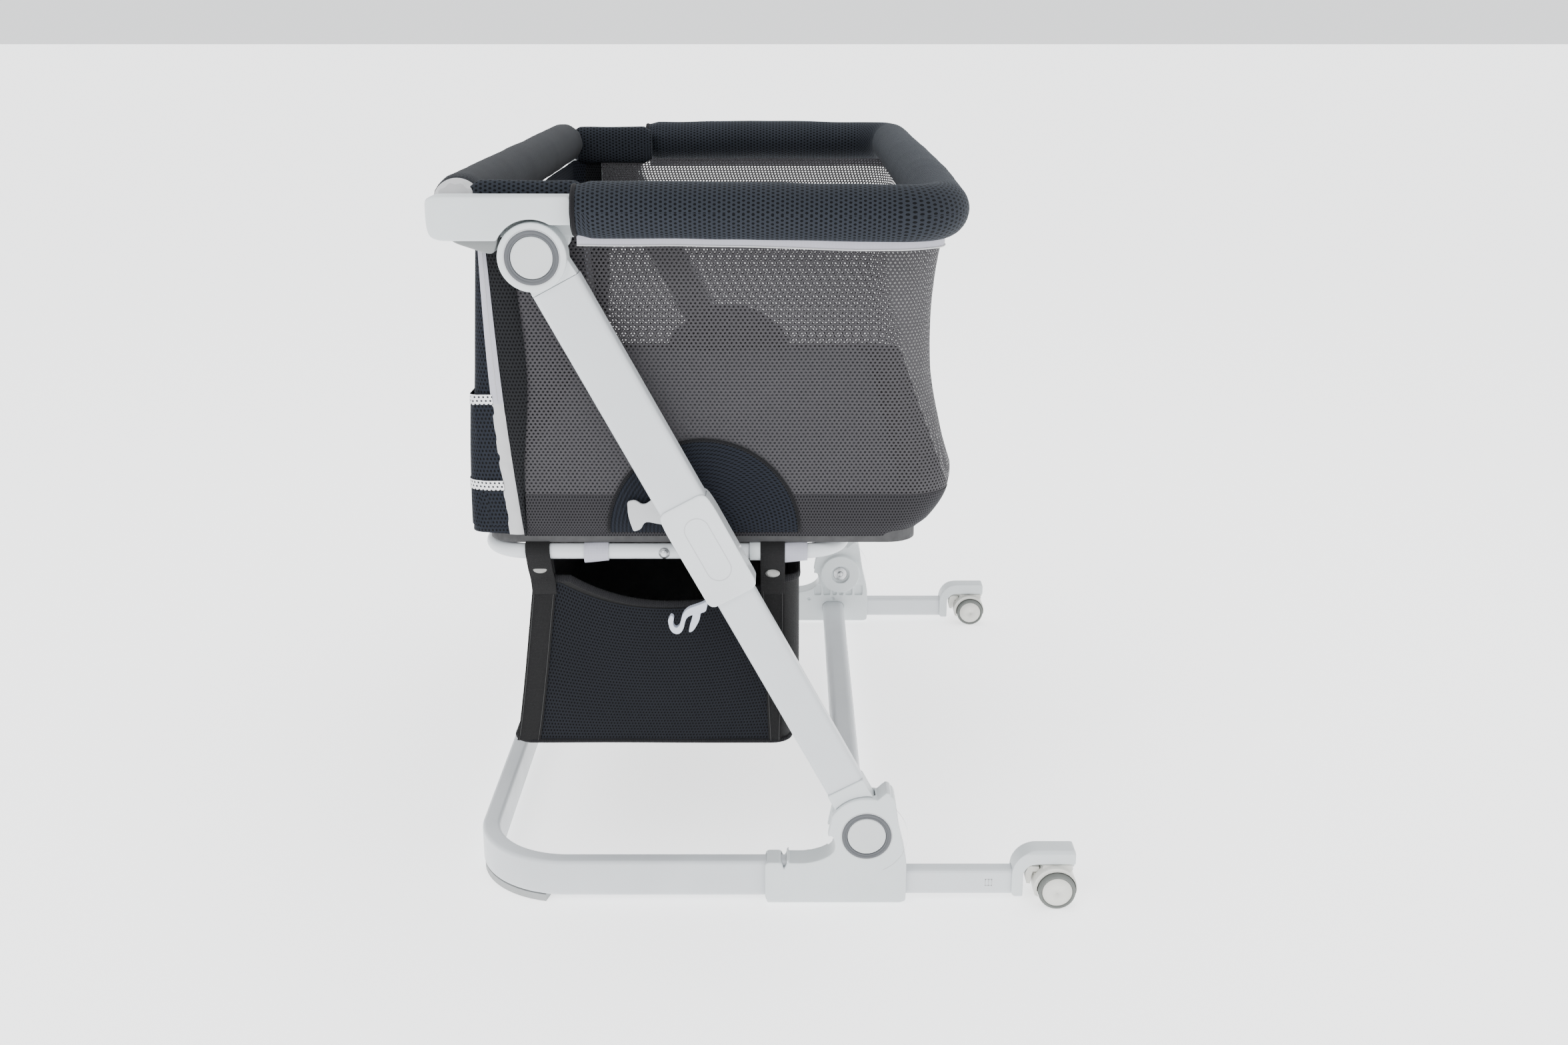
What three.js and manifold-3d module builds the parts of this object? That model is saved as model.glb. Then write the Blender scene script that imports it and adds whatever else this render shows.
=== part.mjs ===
// A bedside bassinet on a folding stand, in millimetres: +X towards the castors, +Y along the crib, +Z up.
// The origin is on the floor under the middle of the object. Both sides are alike, mirrored about Y = 0.
import * as THREE from 'three';
import { mergeVertices } from 'three/addons/utils/BufferGeometryUtils.js';
import Module from 'manifold-3d';

// ---------------------------------------------------------------- driving dimensions
const GAP = 0.3; // clearance between pieces that touch
const LEG_Y = 431; // the legs' centre planes stand this far to each side
const LOWER_HINGE = { x: 102, z: 82 };
const UPPER_HINGE = { x: -223, z: 688 };
const LEG_OFFSET = 4.9; // the leg tubes' centre line lies this far to the right of the hinge line
const LEG_LENGTH = Math.hypot(UPPER_HINGE.x - LOWER_HINGE.x, UPPER_HINGE.z - LOWER_HINGE.z);
const LEG_LEAN = Math.atan2(LOWER_HINGE.x - UPPER_HINGE.x, UPPER_HINGE.z - LOWER_HINGE.z);
const FOLD_TRAVEL = THREE.MathUtils.degToRad(46); // the legs swing this far down when the stand folds

const RING = { outer: 26, inner: 20.6, button: 20.3, recess: 6 }; // hinge ring and push button
const PIN_RADIUS = 9; // hinge pins

const LOWER_TUBE = { halfWidth: 20.9, halfDepth: 10, wall: 1.5, bottom: 58.3, top: 480 };
const UPPER_TUBE = { halfWidth: 24.8, halfDepth: 13, wall: 2.4, bottom: 306, top: LEG_LENGTH - 34 };
const COLLAR = { halfWidth: 27.2, inner: 417, outer: 446, bottom: 298, top: 409, lip: 7.4 };

const BASE_TUBE = { left: -321, depth: 20, low: 8, high: 49, bend: 95, end: 40, wall: 1.6 };
const FOOT = { inner: 417, outer: 447, slotInner: 420.7, slotOuter: 436.3, boss: 43, low: 4, right: 144.5 };
const CROSS_BAR = { left: 75, right: 108, low: 15, high: 35 };
const EXTENSION = { left: 112, right: 263, low: 10, high: 38, halfDepth: 9 };
const ARM = { left: 257, inside: 269, right: 324, low: 9, top: 62, underside: 46.5, halfDepth: 12.5 };
const WHEEL = { x: 304, z: 20, radius: 20, inner: 7, outer: 24 };
const STEM = { x: 317, radius: 4, top: 55.5 };

const BUMPER_RADIUS = 27.5;
const RIM = { y: 442.5, z: 734.5, right: 167.5, bend: 47.5, tube: 8, wall: 1.5, left: -195 };
const BRACKET = { left: -325, right: -184, inner: 420, outer: 453, low: 704, high: 745 };
const SIDE_RAIL_X = -297.5;
const WALL = { halfLength: 408, thickness: 4, low: 405, high: 706, corner: 40 };
const FRAME = { y: 400, z: 382, left: -288, right: 75, bend: 45, tube: 8, joint: -3 };
const BOARD = { low: 392, high: 404 };
const MATTRESS = { low: 404.5, high: 442 };
const BASKET = { left: -271, right: 30, halfLength: 395, low: 168, high: 345, wall: 3 };

// ---------------------------------------------------------------- materials
const plastic = new THREE.MeshStandardMaterial({ color: 0xdfe4e6, roughness: 0.45, metalness: 0 });
const paint = new THREE.MeshStandardMaterial({ color: 0xd6d9de, roughness: 0.5, metalness: 0.1 });
const glossy = new THREE.MeshStandardMaterial({ color: 0xe6e9eb, roughness: 0.3, metalness: 0 });
const grey = new THREE.MeshStandardMaterial({ color: 0x66696e, roughness: 0.5, metalness: 0 });
const leverGrey = new THREE.MeshStandardMaterial({ color: 0x8e9090, roughness: 0.5, metalness: 0 });
const rubber = new THREE.MeshStandardMaterial({ color: 0x7c7f7b, roughness: 0.8, metalness: 0 });
const cream = new THREE.MeshStandardMaterial({ color: 0xe6e5df, roughness: 0.4, metalness: 0 });
const milky = new THREE.MeshStandardMaterial({ color: 0xd5d7e2, roughness: 0.25, metalness: 0 });
const steel = new THREE.MeshStandardMaterial({ color: 0xa8aaac, roughness: 0.3, metalness: 1 });
const navyMesh = new THREE.MeshStandardMaterial({ color: 0x2b3138, roughness: 0.9, metalness: 0 });
const blackMesh = new THREE.MeshStandardMaterial({ color: 0x2c2d2f, roughness: 0.9, metalness: 0 });
const cotton = new THREE.MeshStandardMaterial({ color: 0xdcdae6, roughness: 0.85, metalness: 0 });
const board = new THREE.MeshStandardMaterial({ color: 0x8c867c, roughness: 0.8, metalness: 0 });

// ---------------------------------------------------------------- solids and booleans
const wasm = await Module();
wasm.setup();

function solid(geometry) {
  const bare = geometry.clone();
  bare.deleteAttribute('normal');
  bare.deleteAttribute('uv');
  const merged = mergeVertices(bare, 1e-4);
  return new wasm.Manifold(new wasm.Mesh({
    numProp: 3,
    vertProperties: new Float32Array(merged.attributes.position.array),
    triVerts: new Uint32Array(merged.index.array),
  }));
}

function geometryOf(body) {
  const mesh = body.getMesh();
  const geometry = new THREE.BufferGeometry();
  geometry.setAttribute('position', new THREE.BufferAttribute(mesh.vertProperties, 3));
  geometry.setIndex(new THREE.BufferAttribute(mesh.triVerts, 1));
  return geometry;
}

const joined = (first, ...others) =>
  geometryOf(others.reduce((whole, next) => whole.add(solid(next)), solid(first)));
const cut = (first, ...tools) =>
  geometryOf(tools.reduce((whole, tool) => whole.subtract(solid(tool)), solid(first)));
const common = (first, second) => geometryOf(solid(first).intersect(solid(second)));

// ---------------------------------------------------------------- outlines
const outline = (...points) => new THREE.Shape(points.map(([a, b]) => new THREE.Vector2(a, b)));
const disc = (a, b, radius) => new THREE.Shape().absarc(a, b, radius, 0, 2 * Math.PI);

function roundedRectangle(left, low, right, high, radius) {
  const shape = new THREE.Shape();
  shape.absarc(right - radius, low + radius, radius, -Math.PI / 2, 0);
  shape.absarc(right - radius, high - radius, radius, 0, Math.PI / 2);
  shape.absarc(left + radius, high - radius, radius, Math.PI / 2, Math.PI);
  shape.absarc(left + radius, low + radius, radius, Math.PI, 1.5 * Math.PI);
  return shape;
}

// A rounded rectangle centred on a point, hollow when it is given a wall.
function tubeSection(centreA, centreB, halfA, halfB, radius, wall = 0) {
  const section = roundedRectangle(
    centreA - halfA, centreB - halfB, centreA + halfA, centreB + halfB, radius);
  if (wall) {
    const inside = Math.max(radius - wall, 0.6);
    section.holes.push(roundedRectangle(
      centreA - halfA + wall, centreB - halfB + wall,
      centreA + halfA - wall, centreB + halfB - wall, inside));
  }
  return section;
}

// ---------------------------------------------------------------- extrusions
const X = new THREE.Vector3(1, 0, 0);
const Y = new THREE.Vector3(0, 1, 0);
const Z = new THREE.Vector3(0, 0, 1);
const BACK = new THREE.Vector3(0, -1, 0);

function extrude(shape, depth, curveSegments) {
  return new THREE.ExtrudeGeometry(shape, { depth, curveSegments, bevelEnabled: false });
}

// An outline drawn in X and Z, from one Y to another.
function across(shape, yLow, yHigh, curveSegments = 6) {
  const turn = new THREE.Matrix4().makeBasis(X, Z, BACK);
  return extrude(shape, yHigh - yLow, curveSegments).applyMatrix4(turn).translate(0, yHigh, 0);
}

// An outline drawn in X and Y, from one height to another.
function upward(shape, zLow, zHigh, curveSegments = 6) {
  return extrude(shape, zHigh - zLow, curveSegments).translate(0, 0, zLow);
}

// An outline drawn in Y and Z, from one X to another.
function lengthwise(shape, xLow, xHigh, curveSegments = 2) {
  const turn = new THREE.Matrix4().makeBasis(Y, Z, X);
  return extrude(shape, xHigh - xLow, curveSegments).applyMatrix4(turn).translate(xLow, 0, 0);
}

function block(xLow, xHigh, yLow, yHigh, zLow, zHigh) {
  return new THREE.BoxGeometry(xHigh - xLow, yHigh - yLow, zHigh - zLow)
    .translate((xLow + xHigh) / 2, (yLow + yHigh) / 2, (zLow + zHigh) / 2);
}

// A round piece about an axis along Y; its profile is [radius, y] points, anticlockwise.
function turned(x, z, profile, segments = 24) {
  const points = profile.map(([radius, y]) => new THREE.Vector2(radius, y));
  points.push(points[0].clone());
  return new THREE.LatheGeometry(points, segments).translate(x, 0, z);
}

function rod(x, z, radius, yLow, yHigh, sides = 16) {
  return across(disc(x, z, radius), yLow, yHigh, sides / 2);
}

// The level centre line of a bent tube: straight runs between its corners, joined by arcs of one radius.
class BentLine extends THREE.Curve {
  constructor(corners, radius, arcSteps = 6) {
    super();
    this.stations = [];
    this.tangents = [];
    const points = corners.map(([x, y, z]) => new THREE.Vector3(x, y, z));
    const add = (point, tangent) => {
      this.stations.push(point);
      this.tangents.push(tangent.clone().normalize());
    };
    add(points[0], points[1].clone().sub(points[0]));
    for (let i = 1; i < points.length - 1; i += 1) {
      const before = points[i].clone().sub(points[i - 1]).normalize();
      const after = points[i + 1].clone().sub(points[i]).normalize();
      const centre = points[i].clone().addScaledVector(before, -radius).addScaledVector(after, radius);
      for (let step = 0; step <= arcSteps; step += 1) {
        const angle = (step / arcSteps) * (Math.PI / 2);
        const point = centre.clone()
          .addScaledVector(after, -radius * Math.cos(angle))
          .addScaledVector(before, radius * Math.sin(angle));
        const tangent = before.clone().multiplyScalar(Math.cos(angle))
          .addScaledVector(after, Math.sin(angle));
        add(point, tangent);
      }
    }
    add(points.at(-1), points.at(-1).clone().sub(points.at(-2)));
  }

  getSpacedPoints() {
    return this.stations;
  }

  // A section's own first axis points up and its second one sideways.
  computeFrenetFrames() {
    return {
      tangents: this.tangents,
      normals: this.tangents.map(() => Z.clone()),
      binormals: this.tangents.map((tangent) => tangent.clone().cross(Z)),
    };
  }
}

function bentTube(section, line, curveSegments) {
  return new THREE.ExtrudeGeometry(section, {
    steps: line.stations.length - 1, extrudePath: line, curveSegments,
  });
}

function roundSection(radius, hole) {
  const section = disc(0, 0, radius);
  section.holes.push(disc(0, 0, hole));
  return section;
}

// The other side's copy of a piece. A mirror turns each face inside out, so two corners change places.
function mirrored(geometry) {
  const copy = geometry.index ? geometry.toNonIndexed() : geometry.clone();
  copy.scale(1, -1, 1);
  const numbers = copy.attributes.position.array;
  for (let face = 0; face < numbers.length; face += 9) {
    for (let axis = 0; axis < 3; axis += 1) {
      const second = numbers[face + 3 + axis];
      numbers[face + 3 + axis] = numbers[face + 6 + axis];
      numbers[face + 6 + axis] = second;
    }
  }
  return copy;
}

// ---------------------------------------------------------------- scene graph
const bassinet = new THREE.Group();
const legs = new THREE.Group(); // x across the leg, z up along it, from the lower hinge
legs.position.set(LOWER_HINGE.x, 0, LOWER_HINGE.z);
legs.rotation.y = -LEG_LEAN;
bassinet.add(legs);

function place(name, geometry, material, parent = bassinet) {
  const mesh = new THREE.Mesh(geometry, material);
  mesh.name = name;
  parent.add(mesh);
}

// Both sides of a piece that is drawn on the +Y side.
function placePair(name, geometry, material, parent = bassinet) {
  place(`${name}_far`, geometry, material, parent);
  place(`${name}_near`, mirrored(geometry), material, parent);
}

// ---------------------------------------------------------------- base
// A flat-sided steel tube, open towards the castors, with both ends held in the foot brackets.
function baseTube() {
  const x = BASE_TUBE.left + BASE_TUBE.depth / 2;
  const z = (BASE_TUBE.low + BASE_TUBE.high) / 2;
  const line = new BentLine(
    [[BASE_TUBE.end, LEG_Y, z], [x, LEG_Y, z], [x, -LEG_Y, z], [BASE_TUBE.end, -LEG_Y, z]],
    BASE_TUBE.bend, 7);
  const halfHeight = (BASE_TUBE.high - BASE_TUBE.low) / 2;
  const section = tubeSection(0, 0, halfHeight, BASE_TUBE.depth / 2, 4, BASE_TUBE.wall);
  return bentTube(section, line, 1);
}

// A rubber pad follows the underside of the base tube's bend.
function footPad() {
  const centreX = BASE_TUBE.left + BASE_TUBE.depth / 2 + BASE_TUBE.bend;
  const centreY = LEG_Y - BASE_TUBE.bend;
  const from = THREE.MathUtils.degToRad(103);
  const to = THREE.MathUtils.degToRad(167);
  const shape = new THREE.Shape();
  shape.absarc(centreX, centreY, BASE_TUBE.bend + 9, from, to);
  shape.absarc(centreX, centreY, BASE_TUBE.bend - 17, to, from, true);
  return upward(shape, 0, BASE_TUBE.low - GAP, 7);
}

// Leg positions in X and Z: a distance up the leg and one across it, at a fold angle.
function legPoint(up, acrossLeg, fold = 0) {
  const lean = LEG_LEAN + fold;
  return [
    LOWER_HINGE.x - up * Math.sin(lean) + acrossLeg * Math.cos(lean),
    LOWER_HINGE.z + up * Math.cos(lean) + acrossLeg * Math.sin(lean),
  ];
}

function footBracketOutline() {
  const { x, z } = LOWER_HINGE;
  const shape = new THREE.Shape();
  shape.moveTo(-4, FOOT.low);
  shape.lineTo(FOOT.right, FOOT.low);
  shape.lineTo(FOOT.right, 52);
  shape.quadraticCurveTo(142, 80, 136, 97);
  shape.quadraticCurveTo(130, 136, 112, 136.5);
  shape.lineTo(...legPoint(46, 29.5));
  const shoulder = Math.asin(29.5 / FOOT.boss); // where the boss meets the leg's right edge
  shape.absarc(x, z, FOOT.boss, Math.PI / 2 + LEG_LEAN - shoulder, Math.PI - 0.55);
  shape.lineTo(67, 88);
  shape.quadraticCurveTo(66, 74, 70, 66);
  shape.quadraticCurveTo(52, 50, 34, 50);
  shape.lineTo(12, 50);
  return shape;
}

// The tongue of the lower knuckle swings in this slot, from the open leg to the folded one.
function tongueSweep() {
  const width = { right: 27.5, left: -17.5 };
  return outline(
    legPoint(0, width.left, FOLD_TRAVEL), legPoint(0, width.right),
    legPoint(90, width.right), [LOWER_HINGE.x - 80, LOWER_HINGE.z + 90],
    legPoint(90, width.left, FOLD_TRAVEL));
}

function footBracket() {
  const { x, z } = LOWER_HINGE;
  const body = across(footBracketOutline(), FOOT.inner, FOOT.outer, 8);
  const cheekDisc = rod(x, z, 29.5, FOOT.inner - 8, FOOT.inner + 1, 20);
  const whole = joined(body, cheekDisc);
  const baseSocket = block(
    -20, BASE_TUBE.end + GAP, LEG_Y - BASE_TUBE.depth / 2 - GAP, LEG_Y + BASE_TUBE.depth / 2 + GAP,
    BASE_TUBE.low - GAP, BASE_TUBE.high + GAP);
  const extensionSocket = block(
    EXTENSION.left - GAP, FOOT.right + 5, LEG_Y - EXTENSION.halfDepth - GAP,
    LEG_Y + EXTENSION.halfDepth + GAP, EXTENSION.low - GAP, EXTENSION.high + GAP);
  const barSocket = across(
    roundedRectangle(CROSS_BAR.left - GAP, CROSS_BAR.low - GAP, CROSS_BAR.right + GAP,
      CROSS_BAR.high + GAP, 9), FOOT.inner - 10, FOOT.inner + 10, 3);
  const slot = across(tongueSweep(), FOOT.slotInner, FOOT.slotOuter);
  const hingeRoom = rod(x, z, 33.6, FOOT.slotInner, FOOT.slotOuter, 24);
  const recess = rod(x, z, RING.outer + GAP, FOOT.outer - RING.recess, FOOT.outer + 5, 24);
  const boltRecess = rod(x, z, 14, FOOT.inner - 10, FOOT.inner - 3);
  const hollow = cut(whole, baseSocket, extensionSocket, barSocket, slot, hingeRoom, recess, boltRecess);
  return joined(hollow, rod(x, z, PIN_RADIUS, FOOT.slotInner - 1, FOOT.slotOuter + 1));
}

function crossBar() {
  const end = FOOT.inner + 9;
  return across(
    roundedRectangle(CROSS_BAR.left, CROSS_BAR.low, CROSS_BAR.right, CROSS_BAR.high, 9), -end, end, 3);
}

function extensionTube() {
  const middle = (EXTENSION.low + EXTENSION.high) / 2;
  const halfHeight = (EXTENSION.high - EXTENSION.low) / 2;
  const section = tubeSection(LEG_Y, middle, EXTENSION.halfDepth, halfHeight, 3, 1.5);
  return lengthwise(section, EXTENSION.left, EXTENSION.right, 1);
}

// The arm rises from the extension tube and bends over the castor.
function castorArm() {
  const shape = new THREE.Shape();
  shape.moveTo(ARM.left + 3, ARM.low);
  shape.lineTo(ARM.inside - 1, ARM.low);
  shape.lineTo(ARM.inside, ARM.low + 1);
  shape.lineTo(ARM.inside, 33);
  shape.absarc(ARM.inside + 13.5, ARM.underside - 13.5, 13.5, Math.PI, Math.PI / 2, true);
  shape.lineTo(ARM.right, ARM.underside);
  shape.lineTo(ARM.right, ARM.top - 4);
  shape.absarc(ARM.right - 4, ARM.top - 4, 4, 0, Math.PI / 2);
  shape.absarc(ARM.left + 27, ARM.top - 27, 27, Math.PI / 2, Math.PI);
  shape.lineTo(ARM.left, ARM.low + 3);
  const body = across(shape, LEG_Y - ARM.halfDepth, LEG_Y + ARM.halfDepth);
  const socket = block(
    ARM.left - 5, EXTENSION.right + GAP, LEG_Y - EXTENSION.halfDepth - GAP,
    LEG_Y + EXTENSION.halfDepth + GAP, EXTENSION.low - GAP, EXTENSION.high + GAP);
  const stemHole = upward(disc(STEM.x, LEG_Y, STEM.radius + GAP), ARM.underside - 5, STEM.top + 1);
  return cut(body, socket, stemHole);
}

function addBase() {
  place('base_tube', baseTube(), paint);
  placePair('foot_pad', footPad(), rubber);
  placePair('foot_bracket', footBracket(), plastic);
  place('cross_bar', crossBar(), paint);
  placePair('extension_tube', extensionTube(), paint);
  placePair('castor_arm', castorArm(), plastic);
  placePair('lower_hinge_ring', hingeRing(LOWER_HINGE, FOOT.outer), grey);
  placePair('lower_hinge_button', hingeButton(LOWER_HINGE, FOOT.outer), plastic);
}

// ---------------------------------------------------------------- hinge rings and buttons
function hingeRing({ x, z }, face) {
  const back = face - RING.recess + GAP;
  const front = face + 1;
  return turned(x, z, [
    [RING.inner, back], [RING.outer, back], [RING.outer, front - 0.8], [RING.outer - 0.8, front],
    [RING.inner + 0.6, front], [RING.inner, front - 0.6]]);
}

function hingeButton({ x, z }, face) {
  const front = face + 0.6;
  const points = [[0, face - 2.6], [RING.button, face - 2.6], [RING.button, front - 0.8],
    [RING.button - 0.8, front], [0, front]];
  return new THREE.LatheGeometry(points.map(([r, y]) => new THREE.Vector2(r, y)), 24)
    .translate(x, 0, z);
}

// ---------------------------------------------------------------- castors
// A hood between and over the twin wheels, with its stem and a pocket for the brake lever.
function castorHood() {
  const shape = outline(
    [280.5, 17], [295, 9], [313, 9], [323, 17], [325, 22], [324, 33], [320.5, 45.5],
    [289.5, 45.5], [284, 40], [281, 31]);
  const body = across(shape, LEG_Y - 19, LEG_Y + 19);
  const stem = upward(disc(STEM.x, LEG_Y, STEM.radius), 44, STEM.top);
  const pockets = [-1, 1].map((side) => {
    const edges = [LEG_Y + side * (WHEEL.inner - 0.6), LEG_Y + side * 40].sort((a, b) => a - b);
    return rod(WHEEL.x, WHEEL.z, WHEEL.radius + 0.8, ...edges, 24);
  });
  const axleHole = rod(WHEEL.x, WHEEL.z, 3 + GAP, LEG_Y - 30, LEG_Y + 30);
  const leverPocket = block(275, 288, LEG_Y - 6.5, LEG_Y + 6.5, 33.5, 43.5);
  return cut(joined(body, stem), ...pockets, axleHole, leverPocket);
}

function castorWheel(inner, outer) {
  return turned(WHEEL.x, WHEEL.z, [
    [3 + GAP, inner], [WHEEL.radius - 1.5, inner], [WHEEL.radius, inner + 1.5],
    [WHEEL.radius, outer - 2], [WHEEL.radius - 2, outer], [3 + GAP, outer]], 24);
}

function brakeLever() {
  const shape = outline(
    [272, 28], [273.4, 21.6], [277.4, 21], [278.2, 30], [279.6, 35], [286.5, 35.6],
    [286.5, 40.4], [278, 41.6], [274.5, 40], [272.3, 34]);
  return across(shape, LEG_Y - 6, LEG_Y + 6);
}

function addCastors() {
  placePair('castor_hood', castorHood(), cream);
  placePair('castor_axle', rod(WHEEL.x, WHEEL.z, 3, LEG_Y - 22.5, LEG_Y + 22.5), steel);
  placePair('castor_wheel_outer', castorWheel(LEG_Y + WHEEL.inner, LEG_Y + WHEEL.outer), rubber);
  placePair('castor_wheel_inner', castorWheel(LEG_Y - WHEEL.outer, LEG_Y - WHEEL.inner), rubber);
  placePair('castor_brake', brakeLever(), cream);
}

// ---------------------------------------------------------------- legs, in the leg's own frame
function legSection(tube, grow = 0, wall = tube.wall) {
  return tubeSection(LEG_OFFSET, LEG_Y, tube.halfWidth + grow, tube.halfDepth + grow, 5, wall);
}

// A block that plugs a leg tube's end.
function tubePlug(tube, low, high) {
  const halfWidth = tube.halfWidth - tube.wall - GAP;
  const halfDepth = tube.halfDepth - tube.wall - GAP;
  return upward(tubeSection(LEG_OFFSET, LEG_Y, halfWidth, halfDepth, 3), low, high, 2);
}

// The knuckle's tongue sits in the foot bracket; its shoulder, outside the boss, is as wide as the tube.
function lowerKnuckle() {
  const left = LEG_OFFSET - LOWER_TUBE.halfWidth;
  const right = LEG_OFFSET + LOWER_TUBE.halfWidth;
  const tongueRange = [FOOT.slotInner + GAP, FOOT.slotOuter - GAP];
  const tongue = joined(
    rod(0, 0, 33, ...tongueRange, 20),
    across(outline([left + 1, 0], [right - 1, 0], [right - 1, 50], [left + 1, 50]), ...tongueRange));
  const shoulder = cut(
    across(outline([left, 20], [right, 20], [right, 58], [left, 58]), LEG_Y - 12, LEG_Y + 12),
    rod(0, 0, FOOT.boss + 0.4, LEG_Y - 20, LEG_Y + 20, 24));
  const whole = joined(tongue, shoulder, tubePlug(LOWER_TUBE, 55, 80));
  return cut(whole, rod(0, 0, PIN_RADIUS + GAP, 400, 460));
}

// The moulded sleeve at the foot of the upper tube, with a lip that guides the lower one.
function collar() {
  const body = across(
    roundedRectangle(LEG_OFFSET - COLLAR.halfWidth, COLLAR.bottom, LEG_OFFSET + COLLAR.halfWidth,
      COLLAR.top, 9), COLLAR.inner, COLLAR.outer, 3);
  const room = upward(legSection(UPPER_TUBE, GAP, 0), COLLAR.bottom + COLLAR.lip, COLLAR.top + 5, 2);
  const mouth = upward(legSection(LOWER_TUBE, 0.5, 0), COLLAR.bottom - 5, COLLAR.top, 2);
  return cut(body, room, mouth);
}

function upperKnuckle() {
  const top = LEG_LENGTH;
  const left = LEG_OFFSET - UPPER_TUBE.halfWidth;
  const right = LEG_OFFSET + UPPER_TUBE.halfWidth;
  const seam = UPPER_TUBE.top + GAP;
  const head = joined(
    rod(0, top, 33.1, 424.2, 449, 24),
    across(outline([left, seam], [right, seam], [right - 1.5, top - 12], [left + 2, top - 8]),
      424.2, LEG_Y + UPPER_TUBE.halfDepth),
    tubePlug(UPPER_TUBE, seam - 22, seam),
    block(LEG_OFFSET - 15, LEG_OFFSET + 15, 425, 438, seam - 5, seam + 5));
  return cut(
    head, rod(0, top, RING.outer + GAP, 449 - RING.recess, 455, 24),
    rod(0, top, PIN_RADIUS + GAP, 415, 445),
    cut(rod(0, top, 34, 415, 424.2, 24), rod(0, top, 1, 410, 414)));
}

// The squeeze lever for the height lies behind the tube, with its waisted grip out to the left.
function heightLever() {
  const grip = new THREE.Shape();
  grip.moveTo(-137, 407);
  grip.lineTo(-129.5, 409.5);
  grip.quadraticCurveTo(-128, 418, -119, 418);
  grip.lineTo(-104, 414);
  grip.lineTo(-70, 431);
  grip.lineTo(-66, 442);
  grip.lineTo(-72, 448);
  grip.lineTo(-112, 444);
  grip.quadraticCurveTo(-124, 434, -134.5, 441);
  grip.lineTo(-143, 439);
  grip.quadraticCurveTo(-142.5, 422, -137, 407);
  return across(grip, 410, COLLAR.inner - 0.7, 4);
}

// A milky plastic hook under the collar's left edge.
function strapHook() {
  const shape = new THREE.Shape();
  shape.moveTo(-61.5, 340);
  shape.lineTo(-64, 328);
  shape.quadraticCurveTo(-84, 322, -88, 311);
  shape.quadraticCurveTo(-92, 303, -99, 308);
  shape.lineTo(-103, 319);
  shape.lineTo(-99, 325);
  shape.lineTo(-96.5, 322);
  shape.lineTo(-98, 314);
  shape.quadraticCurveTo(-93, 309, -91, 316);
  shape.quadraticCurveTo(-86, 330, -70, 334);
  return across(shape, LEG_Y - 4, LEG_Y + 4, 4);
}

function addLegs() {
  placePair('lower_leg_knuckle', lowerKnuckle(), plastic, legs);
  placePair('lower_leg_tube', upward(legSection(LOWER_TUBE), LOWER_TUBE.bottom, LOWER_TUBE.top, 2),
    paint, legs);
  placePair('upper_leg_tube', upward(legSection(UPPER_TUBE), UPPER_TUBE.bottom, UPPER_TUBE.top, 2),
    paint, legs);
  placePair('height_collar', collar(), glossy, legs);
  placePair('upper_leg_knuckle', upperKnuckle(), plastic, legs);
  placePair('height_lever', heightLever(), plastic);
  placePair('strap_hook', strapHook(), milky);
  placePair('upper_hinge_ring', hingeRing(UPPER_HINGE, 449), grey);
  placePair('upper_hinge_button', hingeButton(UPPER_HINGE, 449), plastic);
}

// ---------------------------------------------------------------- crib rim
// The corner bracket carries the rim tube, the drop side's rail and, on a lug, the upper hinge.
function topBracket() {
  const { x, z } = UPPER_HINGE;
  const plan = new THREE.Shape();
  plan.moveTo(BRACKET.right, BRACKET.inner);
  plan.lineTo(BRACKET.right, BRACKET.outer);
  plan.absarc(BRACKET.left + 26, BRACKET.outer - 26, 26, Math.PI / 2, Math.PI);
  plan.lineTo(BRACKET.left, BRACKET.inner);
  const side = new THREE.Shape();
  side.moveTo(BRACKET.left + 14, BRACKET.low);
  side.lineTo(BRACKET.right + 5, BRACKET.low);
  side.lineTo(BRACKET.right + 5, BRACKET.high);
  side.lineTo(BRACKET.left + 8, BRACKET.high);
  side.absarc(BRACKET.left + 8, BRACKET.high - 8, 8, Math.PI / 2, Math.PI);
  side.quadraticCurveTo(BRACKET.left, BRACKET.low + 6, BRACKET.left + 14, BRACKET.low);
  const body = common(
    upward(plan, BRACKET.low, BRACKET.high, 5), across(side, BRACKET.inner - 5, BRACKET.outer + 5));
  const relief = rod(x, z, 36.1, 423.9, BRACKET.outer + 5, 24);
  const step = block(x, BRACKET.right + 5, 423.9, BRACKET.outer + 5, BRACKET.low - 5, 719);
  const tubeSocket = lengthwise(
    disc(RIM.y, RIM.z, RIM.tube + 0.9), RIM.left - GAP, BRACKET.right + 5, 5);
  const leverPocket = block(-299, -253.5, 427.5, 446.5, BRACKET.low - 5, 712);
  const lug = across(
    outline([x - 29, 712], [x - 29, z + 10], [x - 24, z], [x + 24, z], [x + 34, z + 11],
      [x + 34, 712]), 410.5, 423.6);
  const whole = joined(
    cut(body, relief, step, tubeSocket, leverPocket), lug, rod(x, z, 30, 410.5, 423.6, 20),
    rod(x, z, PIN_RADIUS, 420, 441));
  return whole;
}

function releaseLever() {
  const shape = outline(
    [-298, 707.5], [-298, 703], [-296, 700.5], [-277, 696], [-263, 691.8], [-260, 692.2],
    [-257.5, 696], [-254.8, 703], [-254.8, 707.5]);
  return across(shape, 428, 446);
}

function rimLine(left, arcSteps) {
  return new BentLine(
    [[left, RIM.y, RIM.z], [RIM.right, RIM.y, RIM.z], [RIM.right, -RIM.y, RIM.z],
      [left, -RIM.y, RIM.z]], RIM.bend, arcSteps);
}

// ---------------------------------------------------------------- crib walls
// The side view of the fabric body: where its left and right faces lie at each height.
const wallLeft = (z) => THREE.MathUtils.mapLinear(z, 430, WALL.high, -301, -285);

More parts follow.
